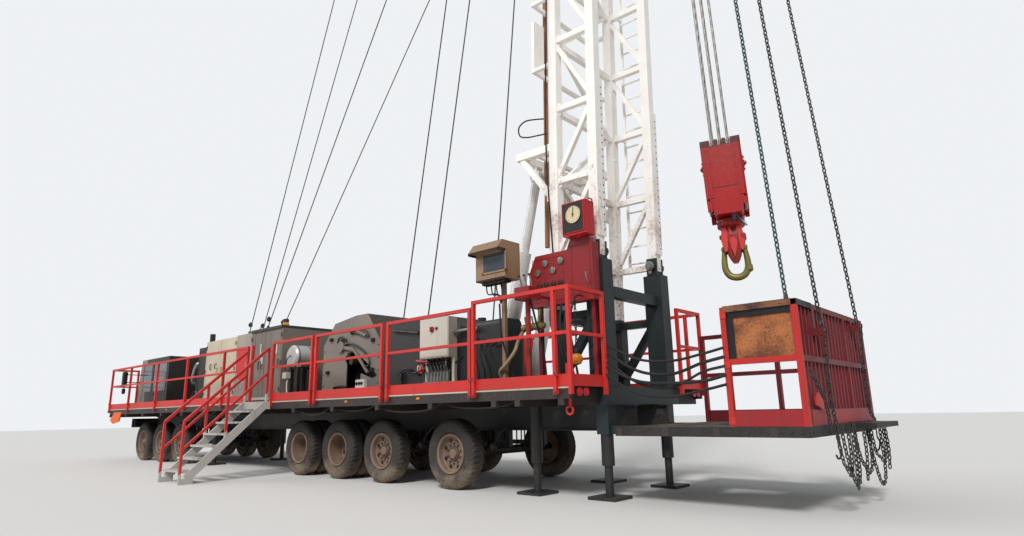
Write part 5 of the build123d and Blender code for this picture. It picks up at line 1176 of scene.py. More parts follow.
@dataclass
class Cabinets(Assembly):
    """Deck cabinets: handles, hinges, the red panel, the enclosure's latches and its beacon."""

    face: float = -1.095
    far_face: float = 1.095
    back: float = -0.195
    door_levels: tuple[float, ...] = (1.68, 2.25, 2.86)

    def handle(self, x: float, z: float, side: int) -> Surface:
        """A bowed grip whose two feet stand on a door."""
        y = self.face
        return tube([(x, y, z + 0.07), (x + side * 0.01, y - 0.035, z + 0.05), (x + side * 0.02, y - 0.04, z),
                     (x + side * 0.01, y - 0.035, z - 0.05), (x, y, z - 0.07)], 0.011, 8, 6)

    def louvre_sets(self) -> list[Surface]:
        """Louvres on the enclosure's far side, the cream cabinet's back and the panel cabinet's back."""
        made = slats(-2.5, -1.5, 1.75, 2.35, self.far_face, 1, 12)
        made += slats(-4.9, -3.7, 2.3, 2.8, self.back, 1, 10)
        return made + slats(-3.35, -2.8, 1.8, 2.2, self.back, 1, 8)

    def build(self) -> None:
        """Dresses the cabinets and adds their fittings."""
        self.dress(Finish.CREAM, "cream_cabinet")
        self.dress(Finish.PANEL_GREY, "panel_cabinet")
        self.dress(Finish.ENCLOSURE, "power_enclosure")
        self.dress(Finish.RECEIVER_SHELL, "air_receiver")
        dark = [self.handle(-4.81, 2.4, 1), self.handle(-4.5, 2.4, -1)]
        piece("cabinet_handles", dark, Finish.OILY_BLACK)
        panel = [prism([(0.0, 0.78), (0.04, 0.3), (0.14, 0.06), (0.28, 0.0), (0.62, 0.0), (0.62, 0.78)],
                       (-3.42, self.face, 1.98), REARWARD, UP, 0.01)]
        piece("panel_red", panel, Finish.RAIL_RED)
        hinges = [turned([(0.012, 0.0), (0.012, 0.09)], (x, self.face - 0.01, z), UP, 10)
                  for x in (-5.13, -3.49, -2.67, -1.29) for z in self.door_levels]
        hinges += [turned([(0.012, 0.0), (0.012, 0.09)], (x, 1.105, z), UP, 10)
                   for x in (-2.66, -1.3) for z in self.door_levels]
        piece("cabinet_hinges", hinges, Finish.DARK_STEEL)
        pulls = [slab((x, self.face - 0.03, 2.49), (x + 0.03, self.face, 2.77), 0.006) for x in (-2.2, -1.47)]
        pulls += [slab((x, self.far_face, 2.45), (x + 0.03, 1.125, 2.73), 0.006) for x in (-2.05, -1.9)]
        latch = [slab((-2.17, self.face - 0.02, 2.3), (-2.09, self.face, 2.45), 0.006)]
        piece("enclosure_pulls", pulls + latch, Finish.WHITE)
        dots = [disc((-2.13, self.face - 0.02, z), NEAR, 0.014, 0.004, 12)
                for z in (2.34, 2.4)]
        seams = dots + [slab((x, self.face - 0.003, 1.56), (x + 0.01, self.face + 0.003, 3.05), 0.001)
                        for x in (-2.51, -2.03)]
        seams += [slab((x, 1.092, 1.56), (x + 0.01, 1.098, 3.05), 0.001) for x in (-1.98,)]
        seams += self.louvre_sets()
        piece("enclosure_seams", seams, Finish.OILY_BLACK)
        sill = [slab((-2.69, self.face - 0.008, 1.5), (-1.26, self.face, 1.56), 0.002)]
        sill += [s for x in (-5.05, -3.55) for s in eye(x, -0.65, 3.06)] + [s for x in (-2.6, -1.35)
                                                                            for y in (-0.95, 0.95)
                                                                            for s in eye(x, y, 3.12)]
        piece("enclosure_sill", sill, Finish.PALE)
        beacon = [turned([(0.07, 0.0), (0.07, 0.03), (0.062, 0.1), (0.045, 0.15), (0.0, 0.165)],
                         (-1.39, -0.965, 3.12), UP, 24)]
        piece("beacon_lens", beacon, Finish.AMBER)
        bands = [loop((-0.9, y, 2.4), 0.243, 0.008, FAR, segments=40, sides=6) for y in (-0.99, -0.72)]
        bands.append(tube([(-0.9, -1.06, 2.4), (-0.9, -1.1, 2.4), (-0.98, -1.12, 2.3), (-1.05, -1.1, 2.1)],
                          0.012, 8))
        piece("receiver_bands", bands, Finish.DARK_STEEL)
        valve = [turned([(0.06, 0.0), (0.065, 0.03), (0.05, 0.07), (0.02, 0.08), (0.02, 0.11), (0.0, 0.11)],
                        (-1.08, -1.0, 2.2), NEAR, 20), slab((-1.14, -1.12, 1.92), (-0.98, -1.0, 2.06), 0.01)]
        piece("receiver_valve", valve, Finish.PALE)
        drain = [tube([(-1.02, -1.05, 1.92), (-0.95, -1.1, 1.75), (-0.8, -1.15, 1.47)], 0.014, 8)]
        piece("receiver_drain", drain, Finish.RECEIVER)


@dataclass
class Drawworks(Assembly):
    """Guards, brake linkage, bolts and the drums with their wound rope."""

    plate: float = -1.0
    far_plate: float = 1.0
    main: tuple[float, float, float] = (1.22, 2.15, 0.27)
    sand: tuple[float, float, float] = (2.83, 2.08, 0.20)
    barrel_half: float = 0.57
    wound_rope: float = 0.028

    def winding(self, x: float, z: float, radius: float) -> Surface:
        """Rope wound on a drum: the radius swells and dips once for each turn of the rope."""
        stations = np.linspace(-self.barrel_half, self.barrel_half, 300)
        swell = radius + 0.011 * np.abs(np.sin(stations * math.pi / self.wound_rope))
        profile = [(float(r), float(s)) for r, s in zip(swell, stations)]
        return turned([(radius * 0.9, -self.barrel_half)] + profile + [(radius * 0.9, self.barrel_half)],
                      (x, 0, z), FAR, 40)

    def linkage(self) -> list[Surface]:
        """The brake's looped rods and their small brackets on the near plate."""
        y = self.plate - 0.03
        made = [loop((0.93, y, 2.55), 0.1, 0.016, FAR), loop((1.04, y, 2.52), 0.09, 0.014, FAR)]
        made.append(tube([(1.0, y, 2.45), (1.2, y, 2.5), (1.5, y, 2.42), (1.75, y, 2.28), (1.9, y, 2.12),
                          (1.86, y, 2.02), (1.7, y, 2.06)], 0.017))
        made.append(tube([(1.28, y, 2.7), (1.5, y, 2.77), (1.78, y, 2.68), (1.86, y, 2.58), (1.7, y, 2.6),
                          (1.45, y, 2.68), (1.28, y, 2.7)], 0.013))
        made.append(tube([(0.76, y, 1.46), (0.76, y, 1.64), (0.8, y, 1.68), (1.08, y, 1.68), (1.13, y, 1.64),
                          (1.13, y, 1.46)], 0.024))
        for x, z in ((0.49, 1.97), (1.3, 2.7), (1.98, 2.5), (1.98, 1.95), (0.58, 2.62), (1.24, 2.28)):
            made.append(slab((x - 0.04, self.plate - 0.05, z - 0.035), (x + 0.04, self.plate, z + 0.035),
                             0.006))
            made.append(bolt((x, self.plate - 0.05, z), NEAR, 0.03, 0.014))
        return made

    def far_covers(self) -> list[Surface]:
        """Dished covers over the drums' shafts on the far plate, with bolts round their rims, and hatches."""
        made = []
        for (x, z, _), radius in ((self.main, 0.4), (self.sand, 0.32)):
            made.append(turned([(radius, 0.0), (radius, 0.025), (radius * 0.9, 0.045), (radius * 0.3, 0.06),
                                (0.07, 0.06), (0.07, 0.11), (0.0, 0.11)], (x, self.far_plate, z), FAR, 48))
            made += bolt_circle((x, self.far_plate + 0.025, z), REARWARD, UP, radius * 0.94, 12, FAR)
        return made + [s for x in (0.4, 1.72) for s in frame_of(x, x + 0.38, 1.6, 2.3, self.far_plate, 1)]

    def build(self) -> None:
        """Dresses the drawworks and adds its detail."""
        self.dress(Finish.GUARD, "main_drum_guard")
        self.dress(Finish.DARK_GUARD, "sand_drum_guard")
        self.dress(Finish.DARK_STEEL, "drums")
        piece("brake_linkage", self.linkage(), Finish.OILY_BLACK)
        rows = ((0.36, 1.52, 2.12, 1.52, 9), (2.4, 1.52, 3.9, 1.52, 8), (0.33, 1.7, 0.33, 2.4, 4),
                (2.14, 1.7, 2.14, 2.4, 4))
        rims = [b for x0, z0, x1, z1, count in rows
                for b in bolts_along((x0, self.plate, z0), (x1, self.plate, z1), count, NEAR)]
        piece("guard_bolts", mirrored(rims), Finish.DARK_STEEL)
        piece("far_covers", self.far_covers(), Finish.GUARD)
        piece("main_winding", [self.winding(*self.main)], Finish.WIRE)
        piece("sand_winding", [self.winding(*self.sand)], Finish.WIRE)
        box = [slab((1.54, self.plate - 0.08, 1.62), (1.82, self.plate, 1.78), 0.008),
               slab((1.6, self.plate - 0.06, 1.46), (1.64, self.plate, 1.62)),
               slab((1.72, self.plate - 0.06, 1.46), (1.76, self.plate, 1.62))]
        piece("valve_box", box, Finish.WHITE)
        knobs = [turned([(0.026, 0.0), (0.03, 0.02), (0.0, 0.03)], (1.6 + 0.08 * i, self.plate - 0.08, 1.71),
                        NEAR, 12) for i in range(3)]
        piece("valve_knobs", knobs, Finish.OILY_BLACK)
        pipe = [tube([(2.6, self.plate - 0.04, 2.607), (3.32, self.plate - 0.04, 2.5)], 0.022, 10)]
        pipe.append(turned([(0.045, 0.0), (0.045, 0.09), (0.03, 0.1), (0.0, 0.1)],
                           (2.88, self.plate - 0.06, 1.73), UP, 16))
        pipe.append(slab((2.86, self.plate - 0.06, 1.46), (2.9, self.plate - 0.02, 1.74)))
        piece("guard_pipe", pipe, Finish.DARK_STEEL)
        clips = [slab((x - 0.03, self.plate - 0.03, z - 0.03), (x + 0.03, self.plate, z + 0.03)) for x, z in
                 ((2.7, 2.59), (3.25, 2.51), (3.1, 1.86), (3.3, 1.8), (2.75, 1.82))]
        clips += [tube([(2.75, -1.02, 1.8), (3.0, -1.05, 1.9), (3.2, -1.04, 1.82), (3.5, -1.06, 1.86)], 0.014,
                       8), tube([(2.9, -1.03, 1.5), (3.2, -1.06, 1.6), (3.5, -1.06, 1.55), (3.7, -1.1, 1.6)],
                                0.016, 8)]
        piece("guard_clips", clips, Finish.OILY_BLACK)
        gauge = [slab((3.3, self.plate - 0.05, 1.84), (3.41, self.plate, 1.94), 0.01)]
        piece("guard_gauge", gauge, Finish.WHITE)
        lever = [tube([(3.28, -1.04, 2.02), (3.5, -1.05, 1.99), (3.62, -1.05, 1.98)], 0.02, 8)]
        piece("red_lever", lever, Finish.GAUGE_RED)


@dataclass
class Hydraulics(Assembly):
    """Switch box with its rotary switch, the valve bank's levers, hoses and the tank's gauge."""

    box_face: float = -1.195
    valves: int = 7
    bank_start: float = 3.684
    bank_pitch: float = 0.078

    def hoses(self) -> list[Surface]:
        """Hoses that droop from the valve bank and the tank to the deck, each with its own bow."""
        made = []
        for index in range(self.valves):
            x = self.bank_start + self.bank_pitch * index
            made.append(tube([(x, -1.06, 1.64), (x + 0.02, -1.16, 1.58), (x + 0.05, -1.13, 1.46)], 0.013, 8))
            made.append(tube([(x, -1.02, 1.7), (x + 0.03, -1.05, 1.86),
                              (x + 0.06 * (index - 2), -1.02, 2.02)], 0.011, 8))
        for index in range(5):
            x = 4.72 + 0.13 * index
            made.append(tube([(x, -1.0, 2.3 - 0.04 * index), (x + 0.05, -1.12 - 0.02 * index, 2.05),
                              (x + 0.16, -1.14, 1.72), (x + 0.1, -1.05, 1.46)], 0.02 - 0.002 * (index % 3),
                             10))
        return made

    def build(self) -> None:
        """Dresses the hydraulics and adds their fittings."""
        self.dress(Finish.SWITCH, "switchbox")
        self.dress(Finish.STEEL, "valve_bank")
        self.dress(Finish.TANK, "hydraulic_tank")
        door = [slab((3.565, self.box_face - 0.012, 2.035), (4.245, self.box_face, 2.665), 0.006)]
        piece("switchbox_door", door, Finish.SWITCH)
        y = self.box_face - 0.012
        knob = [turned([(0.05, 0.0), (0.046, 0.02), (0.03, 0.03), (0.0, 0.035)], (3.88, y, 2.49), NEAR, 24),
                slab((3.865, y - 0.055, 2.45), (3.895, y - 0.02, 2.53), 0.004)]
        piece("rotary_switch", knob, Finish.SWITCH_RED)
        lock = [turned([(0.024, 0.0), (0.024, 0.02), (0.0, 0.024)], (3.99, y, 2.5), NEAR, 16)]
        lock += [turned([(0.022, 0.0), (0.022, 0.035)], (3.66 + 0.12 * i, -1.1, 1.985), UP, 12)
                 for i in range(5)]
        piece("switch_glands", lock, Finish.OILY_BLACK)
        levers, grips = [], []
        for index in range(self.valves):
            x = self.bank_start + self.bank_pitch * index
            levers.append(tube([(x, -1.14, 1.72), (x, -1.17, 1.82), (x, -1.2, 1.9)], 0.01, 6))
            levers.append(turned([(0.02, 0.0), (0.024, 0.03), (0.02, 0.05)], (x, -1.1, 1.6), UP, 10))
            grips.append(turned([(0.0, -0.03), (0.018, -0.02), (0.022, 0.0), (0.018, 0.02), (0.0, 0.03)],
                                (x, -1.205, 1.92), (0, -0.3, 1), 12))
        piece("valve_levers", levers, Finish.STEEL)
        piece("valve_grips", grips, Finish.OILY_BLACK)
        piece("hydraulic_hoses", self.hoses(), Finish.HOSE)
        pipe = [tube([(4.26, -1.08, 2.42), (4.5, -1.08, 2.43), (4.8, -1.06, 2.43)], 0.028, 12)]
        pipe += [tube([(4.1, -1.1, 2.02), (4.12, -1.12, 1.9), (4.1, -1.06, 1.78)], 0.015, 8)]
        pipe += [loop((4.33, -0.78, 2.3), 0.05, 0.01, REARWARD, segments=20, sides=6),
                 slab((4.31, -0.72, 1.7), (4.33, -0.66, 2.2))]
        piece("tank_pipe", pipe, Finish.STEEL)
        wheel = [loop((3.45, -1.08, 1.87), 0.07, 0.01, FAR),
                 tube([(3.45, -1.08, 1.8), (3.45, -1.08, 1.94)], 0.008, 6),
                 tube([(3.38, -1.08, 1.87), (3.52, -1.08, 1.87)], 0.008, 6),
                 tube([(3.45, -1.0, 1.87), (3.45, -1.08, 1.87)], 0.012, 8)]
        piece("valve_wheel", wheel, Finish.GAUGE_RED)


@dataclass
class OperatorStation(Assembly):
    """Monitor, weight indicator, console fittings and the small things round the operator."""

    face: float = -1.5
    console_face: float = -1.11

    def monitor(self) -> None:
        """The monitor's frame, screen, hood edge, cable glands and its drooping cables."""
        self.dress(Finish.COPPER, "monitor_box")
        y = self.face
        piece("monitor_frame", frame_of(5.34, 5.83, 3.13, 3.46, y, -1, 0.03, 0.014), Finish.COPPER)
        piece("monitor_screen", [slab((5.37, y - 0.006, 3.16), (5.8, y, 3.43), 0.002)], Finish.SCREEN)
        trim = [slab((5.2, y - 0.17, 3.44), (5.8, y - 0.16, 3.46), 0.003),
                slab((5.205, y - 0.004, 3.04), (5.795, y, 3.06), 0.002)]
        trim += [slab((x, y - 0.165, 3.42), (x + 0.012, y, 3.47), 0.003) for x in (5.195, 5.793)]
        trim += [turned([(0.024, 0.0), (0.024, -0.03), (0.016, -0.05), (0.0, -0.05)],
                        (5.3 + 0.1 * i, -1.38, 3.04), UP, 12) for i in range(5)]
        trim += [slab((5.26, -1.44, 2.99), (5.74, -1.3, 3.035), 0.008)]
        piece("monitor_glands", trim, Finish.OILY_BLACK)
        cables = [tube([(5.3 + 0.1 * i, -1.38, 2.99), (5.34 + 0.1 * i, -1.38, 2.86 - 0.02 * i),
                        (5.5 + 0.05 * i, -1.36, 2.84 - 0.02 * i), (5.56, -1.34, 2.7)], 0.01, 8)
                  for i in range(4)]
        cables.append(tube([(5.53, -1.34, 2.7), (5.53, -1.3, 2.2), (5.6, -1.2, 1.8), (5.62, -1.1, 1.46)],
                           0.014, 8))
        piece("monitor_cables", cables, Finish.HOSE)

    def indicator(self) -> None:
        """The weight indicator's face, dial, marks, needle and rim."""
        self.dress(Finish.GAUGE_RED, "weight_indicator")
        y, x, z = -1.26, 6.88, 3.79
        piece("indicator_face", [slab((6.7, y - 0.008, 3.54), (7.05, y, 3.96), 0.003)], Finish.OILY_BLACK)
        dial = [turned([(0.128, 0.0), (0.128, 0.006), (0.0, 0.008)], (x, y - 0.007, z), NEAR, 48)]
        piece("indicator_dial", dial, Finish.DIAL)
        marks = [loop((x, y - 0.014, z), 0.13, 0.005, FAR, segments=48, sides=6)]
        for index in range(24):
            turn = math.radians(index * 15)
            inner = 0.108 if index % 3 else 0.096
            marks.append(tube([(x + inner * math.sin(turn), y - 0.0155, z + inner * math.cos(turn)),
                               (x + 0.12 * math.sin(turn), y - 0.0155, z + 0.12 * math.cos(turn))], 0.0022,
                              4))
        marks.append(tube([(x - 0.006, y - 0.02, z - 0.04), (x + 0.008, y - 0.02, z + 0.1)], 0.0045, 6))
        marks.append(turned([(0.016, 0.0), (0.014, 0.01), (0.0, 0.012)], (x, y - 0.015, z), NEAR, 16))
        piece("indicator_marks", marks, Finish.OILY_BLACK)
        rim = frame_of(6.69, 7.06, 3.53, 3.97, y, -1, 0.012, 0.016)
        rim += [tube([(7.075, -1.2, 3.98), (7.09, -1.18, 4.0), (7.09, -1.1, 4.0), (7.075, -1.08, 3.98)], 0.01,
                     8)]
        rim += [turned([(0.03, 0.0), (0.035, 0.02), (0.03, 0.05)], (x, -1.15, 3.49), UP, 16)]
        piece("indicator_rim", rim, Finish.GAUGE_RED)

    def controls(self) -> None:
        """Gauges, levers, valves and pipes on the console and the control box."""
        gauges = [turned([(0.05, 0.0), (0.05, 0.025), (0.04, 0.03), (0.0, 0.03)],
                         (6.1 + 0.14 * i, self.console_face, 3.1 + 0.12 * (i % 2)), NEAR, 20)
                  for i in range(4)]
        gauges += [tube([(6.2 + 0.09 * i, -1.6, 2.79), (6.2 + 0.09 * i, -1.62, 2.88),
                         (6.2 + 0.09 * i, -1.65, 2.95)], 0.01, 8) for i in range(3)]
        gauges += [tube([(6.98, -1.12, 2.82), (6.985, -1.16, 2.88), (6.98, -1.17, 2.98)], 0.01, 8)]
        piece("console_gauges", gauges, Finish.STEEL)
        knobs = [turned([(0.0, 0.0), (0.018, 0.008), (0.02, 0.02), (0.0, 0.036)],
                        (6.2 + 0.09 * i, -1.652, 2.945), (0, -0.3, 1), 12) for i in range(3)]
        knobs += [turned([(0.04, 0.0), (0.045, 0.02), (0.02, 0.04), (0.0, 0.045)],
                         (6.12 + 0.13 * i, self.console_face, 2.9), NEAR, 16) for i in range(4)]
        knobs += [tube([(6.3 + 0.1 * i, -1.1, 2.62), (6.34 + 0.08 * i, -1.15, 2.3),
                        (6.45 + 0.06 * i, -1.12, 1.9), (6.4 + 0.08 * i, -1.05, 1.46)], 0.016, 8)
                  for i in range(5)]
        knobs += [tube([(6.35, -1.6, 2.62), (6.36, -1.5, 2.3), (6.3, -1.3, 2.0), (6.2, -1.1, 1.47)], 0.014,
                       8)]
        piece("console_knobs", knobs, Finish.HOSE)
        seams = []
        for left, right, low, high in ((5.99, 6.56, 2.66, 3.3), (6.7, 7.02, 2.7, 3.4)):
            seams += frame_of(left, right, low, high, self.console_face, -1, 0.01, 0.005)
        seams += bolts_along((6.68, self.console_face, 2.7), (6.68, self.console_face, 3.4), 5, NEAR, 0.018,
                             0.008)
        piece("console_seams", seams, Finish.CONSOLE)
        valves = [tube([(5.9, -1.25, 2.28), (6.1, -1.28, 2.32), (6.32, -1.26, 2.3)], 0.035, 12)]
        valves += [turned([(0.05, -0.06), (0.055, -0.03), (0.04, 0.0), (0.055, 0.03), (0.05, 0.06)],
                          (5.98 + 0.13 * i, -1.27, 2.3), (1, 0, 0.1), 16) for i in range(3)]
        valves += [tube([(5.98 + 0.13 * i, -1.27, 2.33), (5.98 + 0.13 * i, -1.3, 2.45)], 0.012, 8)
                   for i in range(3)]
        valves += [tube([(6.08, -1.2, 2.3), (6.08, -1.1, 2.4), (6.08, -1.06, 2.62)], 0.02, 8)]
        piece("brass_valves", valves, Finish.BRASS)
        hose = [tube([(5.93, -1.26, 2.27), (5.84, -1.28, 2.14), (5.78, -1.3, 1.98), (5.6, -1.3, 1.8),
                      (5.44, -1.25, 1.7), (5.4, -1.1, 1.5)], 0.026, 10)]
        piece("tan_hose", hose, Finish.TAN_HOSE)

    def build(self) -> None:
        """Dresses the operator's station and adds its fittings."""
        self.dress(Finish.CONSOLE, "console")
        self.monitor()
        self.indicator()
        self.controls()
        x, y = 6.87, -1.3
        ball = [turned([(0.0, -0.08), (0.05, -0.065), (0.078, -0.02), (0.078, 0.02), (0.05, 0.065),
                        (0.0, 0.08)], (x, y, 1.794), UP, 28)]
        piece("float_ball", ball, Finish.AMBER)
        drop = [links([(x, y, 1.95), (x, y, 2.62)], 0.05, 0.007)]
        drop += [turned([(0.03, 0.0), (0.035, 0.03), (0.012, 0.08)], (x, y, 1.86), UP, 14),
                 tube([(x, y, 2.62), (x, -1.2, 2.66), (x, -1.1, 2.66)], 0.012, 8)]
        piece("ball_chain", drop, Finish.OILY_BLACK)


@dataclass
class Mast(Assembly):
    """Mast sections, crown, board, ladder, pins and the hole rows on the front strips."""

    bay: float = 1.18
    half: float = 0.805

    def pins(self) -> list[Surface]:
        """Stepped pin heads with keeper plates at the pivots, and washers where the rams hold on."""
        made = []
        for x, y, z in ((6.95, -0.96, 3.35), (6.95, -0.65, 3.35)):
            side = -1 if y < -0.8 else 1
            made.append(turned([(0.075, 0.0), (0.075, 0.02), (0.05, 0.025), (0.05, 0.04), (0.0, 0.04)],
                               (x, y, z), (0, side, 0), 24))
            made.append(slab((x - 0.03, y, z - 0.13), (x + 0.03, y + side * 0.012, z - 0.08), 0.003))
        return mirrored(made)

    def gussets(self) -> list[Surface]:
        """Weld plates with bolts at the lower bays' joints on the near and far faces, in the mast's lean."""
        made = []
        for bay in range(1, 12):
            z = bay * self.bay
            for x in (-0.055, -0.665):
                made.append(slab((x - 0.06, -0.81, z - 0.1), (x + 0.06, -0.817, z + 0.1), 0.003))
                made += [bolt((x, -0.817, z + dz), NEAR, 0.03, 0.014) for dz in (-0.06, 0.06)]
        return mirrored(made)

    def feet(self) -> list[Surface]:
        """Clamp plates, nuts and stiffeners on the mast base's posts and beams."""
        made = []
        x0, x1, face = 6.8, 7.1, -0.925
        made += frame_of(x0 + 0.02, x1 - 0.02, 1.6, 2.75, face, -1, 0.02, 0.012)
        for x in (x0 + 0.06, x1 - 0.06):
            made += bolts_along((x, face, 1.66), (x, face, 2.7), 7, NEAR, 0.034, 0.016)
        return mirrored(made)

    def build(self) -> None:
        """Dresses the mast and adds its bolts, pins and cables, and the dark discs of painted shade at its
        strip holes.
        """
        self.dress(Finish.MAST, "mast_near_side", "mast_far_side", "mast_back", "upper_mast", "ladder",
                   "racking_board", "back_brackets", "crown_frame")
        self.dress(Finish.PIPES, "pipes")
        self.dress(Finish.BASE_BLACK, "mast_base")
        self.dress(Finish.DARK_STEEL, "crown_sheaves")
        self.dress(Finish.RAM, "raising_rams")
        # Dark discs in rows on the front strips: painted shade standing in for the strips' holes.
        holes = [disc((0.095, side * self.half + 0.055, z), REARWARD, 0.012, 0.004, 10)
                 for side in (-1, 1) for z in np.arange(0.3, 2.6, 0.11)]
        piece("strip_holes", holes, Finish.OILY_BLACK, seat=MAST_SEAT)
        piece("pivot_pins", self.pins(), Finish.STEEL)
        piece("mast_gussets", self.gussets(), Finish.MAST, seat=MAST_SEAT)
        piece("base_bolts", self.feet(), Finish.BASE_BLACK)
        cable = [tube([(6.05, -0.8, 5.68), (5.9, -0.84, 5.706), (5.7, -0.84, 5.74), (5.56, -0.84, 5.672),
                       (5.58, -0.84, 5.52), (5.727, -0.84, 5.45), (5.914, -0.84, 5.417), (6.1, -0.78, 5.42)],
                      0.012, 8)]
        cable.append(tube([(6.22, -0.9, 3.4), (6.18, -0.93, 5.2), (6.25, -0.9, 7.4), (6.35, -0.88, 9.6)],
                          0.012, 8, 12))
        piece("mast_cables", cable, Finish.HOSE)
        ties = [slab((-0.02, -0.26, z), (0.0, -0.18, z + 0.03), 0.004)
                for z in np.arange(1.5, 12.0, self.bay)]
        piece("pipe_clamps", ties, Finish.MAST, seat=MAST_SEAT)


@dataclass
class Lifting(Assembly):
    """Travelling block, hook, ropes and the floor's chains."""

    run: float = 25.8256
    pitch: float = 0.105
    spread: float = 0.24925
    drop: float = 0.32
    rope: float = 0.0165
    half_depth: float = 0.31
    cap_face: float = 0.272
    cap_circle: float = 0.085
    head_out: float = 0.375
    head_level: float = 26.6
    link: tuple[float, float] = (0.058, 0.0088)
    tail_link: tuple[float, float] = (0.05, 0.0075)
    feet: tuple[Triple, ...] = ((9.59, -1.265, 2.23), (9.76, -0.755, 1.96), (9.76, 0.775, 2.13))
    heads: tuple[float, ...] = (-0.6, -0.25, 0.6)

    def ropes(self) -> None:
        """Six hoist ropes that run from the block up to the crown."""
        lines = [BLOCK_SEAT.carry(carried(circle(self.rope, 12), np.array([(i * self.pitch, y, -self.drop),
                                                                         (i * self.pitch, y, self.run)])))
                 for i in (-1, 0, 1) for y in (-self.spread, self.spread)]
        made = piece("hoist_ropes", lines, Finish.ROPE, stands_for=("hoist_lines",))
        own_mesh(made)

    def block(self) -> None:
        """The block's side columns, access panel, hole plate, cap screws and lugs."""
        # The darker upper band that block_red gives the block and its pieces is painted shade.
        self.dress(Finish.BLOCK_RED, "travelling_block")
        columns, seams, screws = [], [], []
        for side in (-1, 1):
            y = side * self.half_depth
            for x0, x1 in ((-0.235, -0.16), (0.17, 0.235)):
                columns.append(slab((x0, y - 0.004, -0.86), (x1, y + side * 0.01, -0.13), 0.005))
            seams.append(slab((-0.16, y - 0.001, -0.722), (0.17, y + side * 0.003, -0.712), 0.001))
            seams += [slab((x, y - 0.001, -0.72), (x + 0.008, y + side * 0.003, -0.64), 0.001)
                      for x in (-0.165, 0.165)]
            columns.append(slab((-0.255, y - 0.03, -1.05), (-0.19, y + side * 0.006, -0.9), 0.004))
            # Four dark discs on the small bracket: painted shade standing in for its holes.
            seams += [disc((-0.24 + 0.03 * i, y + side * 0.006, -0.93 - 0.03 * j), (0, side, 0), 0.008, 0.003,
                           10) for i in range(2) for j in range(2)]
            columns.append(slab((0.195, y - 0.03, -1.0), (0.255, y + side * 0.006, -0.9), 0.004))
            screws += [bolt((dx, y + side * 0.01, z), (0, side, 0), 0.02, 0.006) for dx in (-0.2, 0.2)
                       for z in (-0.18, -0.81)]
            cap = (side * self.cap_face, 0, -self.drop)
            screws += bolt_circle(cap, FAR, UP, self.cap_circle, 8, (side, 0, 0), 0.024, 0.01)
            screws.append(turned([(0.03, 0.0), (0.03, 0.02), (0.012, 0.035), (0.0, 0.035)], cap, (side, 0, 0),
                                 16))
        body = Body.BLOCK.value
        piece("block_columns", columns, Finish.BLOCK_RED, body, seat=BLOCK_SEAT)
        piece("block_seams", seams, Finish.OILY_BLACK, body, seat=BLOCK_SEAT)
        piece("block_screws", screws, Finish.BLOCK_RED, body, seat=BLOCK_SEAT)

    def hook(self) -> None:
        """The hook: turned collar, waisted shank between two straps, a bright tongue and the olive ring."""
        body = Body.HOOK.value
        collar = turned([(0.0, -1.0905), (0.12, -1.0905), (0.17, -1.105), (0.18, -1.122), (0.18, -1.15),
                         (0.17, -1.156), (0.17, -1.17), (0.18, -1.176), (0.18, -1.196), (0.165, -1.212),
                         (0.12, -1.222)], (0, 0, 0), UP, 48)
        shank = lofted([(-1.21, 0.1, 0.08), (-1.23, 0.116, 0.088), (-1.34, 0.12, 0.09), (-1.44, 0.11, 0.086),
                        (-1.53, 0.1, 0.08), (-1.6, 0.082, 0.07), (-1.66, 0.058, 0.055),
                        (-1.705, 0.03, 0.036)], 5.0)
        lugs = [slab((0.11, -0.04, -1.4), (0.17, 0.04, -1.32), 0.012),
                slab((-0.17, -0.035, -1.36), (-0.11, 0.035, -1.3), 0.012)]
        lugs += [turned([(0.03, -0.11), (0.036, -0.1), (0.036, 0.1), (0.03, 0.11), (0.0, 0.11)],
                        (0.135, 0, -1.36), FAR, 16)]
        lugs += bolt_circle((0, 0, -1.205), REARWARD, FAR, 0.15, 8, DOWN, 0.028, 0.014)
        parts = [collar, shank, *lugs]
        piece("hook_body", parts, Finish.HOOK_RED, body, stands_for=("hook",),
              seat=BLOCK_SEAT)
        straps = []
        for side in (-1, 1):
            y = side * 0.082
            straps.append(prism([(-0.125, -1.2), (-0.07, -1.2), (-0.06, -1.32), (-0.075, -1.54),
                                 (-0.115, -1.56), (-0.15, -1.4)], (0, y, 0), REARWARD, UP, -side * 0.022))
            straps.append(prism([(-0.045, -1.4), (0.0, -1.36), (0.045, -1.4), (0.05, -1.46), (0.004, -1.64),
                                 (-0.03, -1.52)], (0, y, 0), REARWARD, UP, -side * 0.026))
            straps.append(prism([(-0.05, -1.2), (-0.02, -1.2), (0.0, -1.33), (-0.03, -1.34)], (0, y, 0),
                                REARWARD, UP, -side * 0.02))
            straps.append(prism([(0.06, -1.2), (0.12, -1.2), (0.15, -1.4), (0.12, -1.56), (0.08, -1.54),
                                 (0.07, -1.32)], (0, y, 0), REARWARD, UP, -side * 0.022))
        piece("hook_straps", straps, Finish.RAIL_RED, body, seat=BLOCK_SEAT)
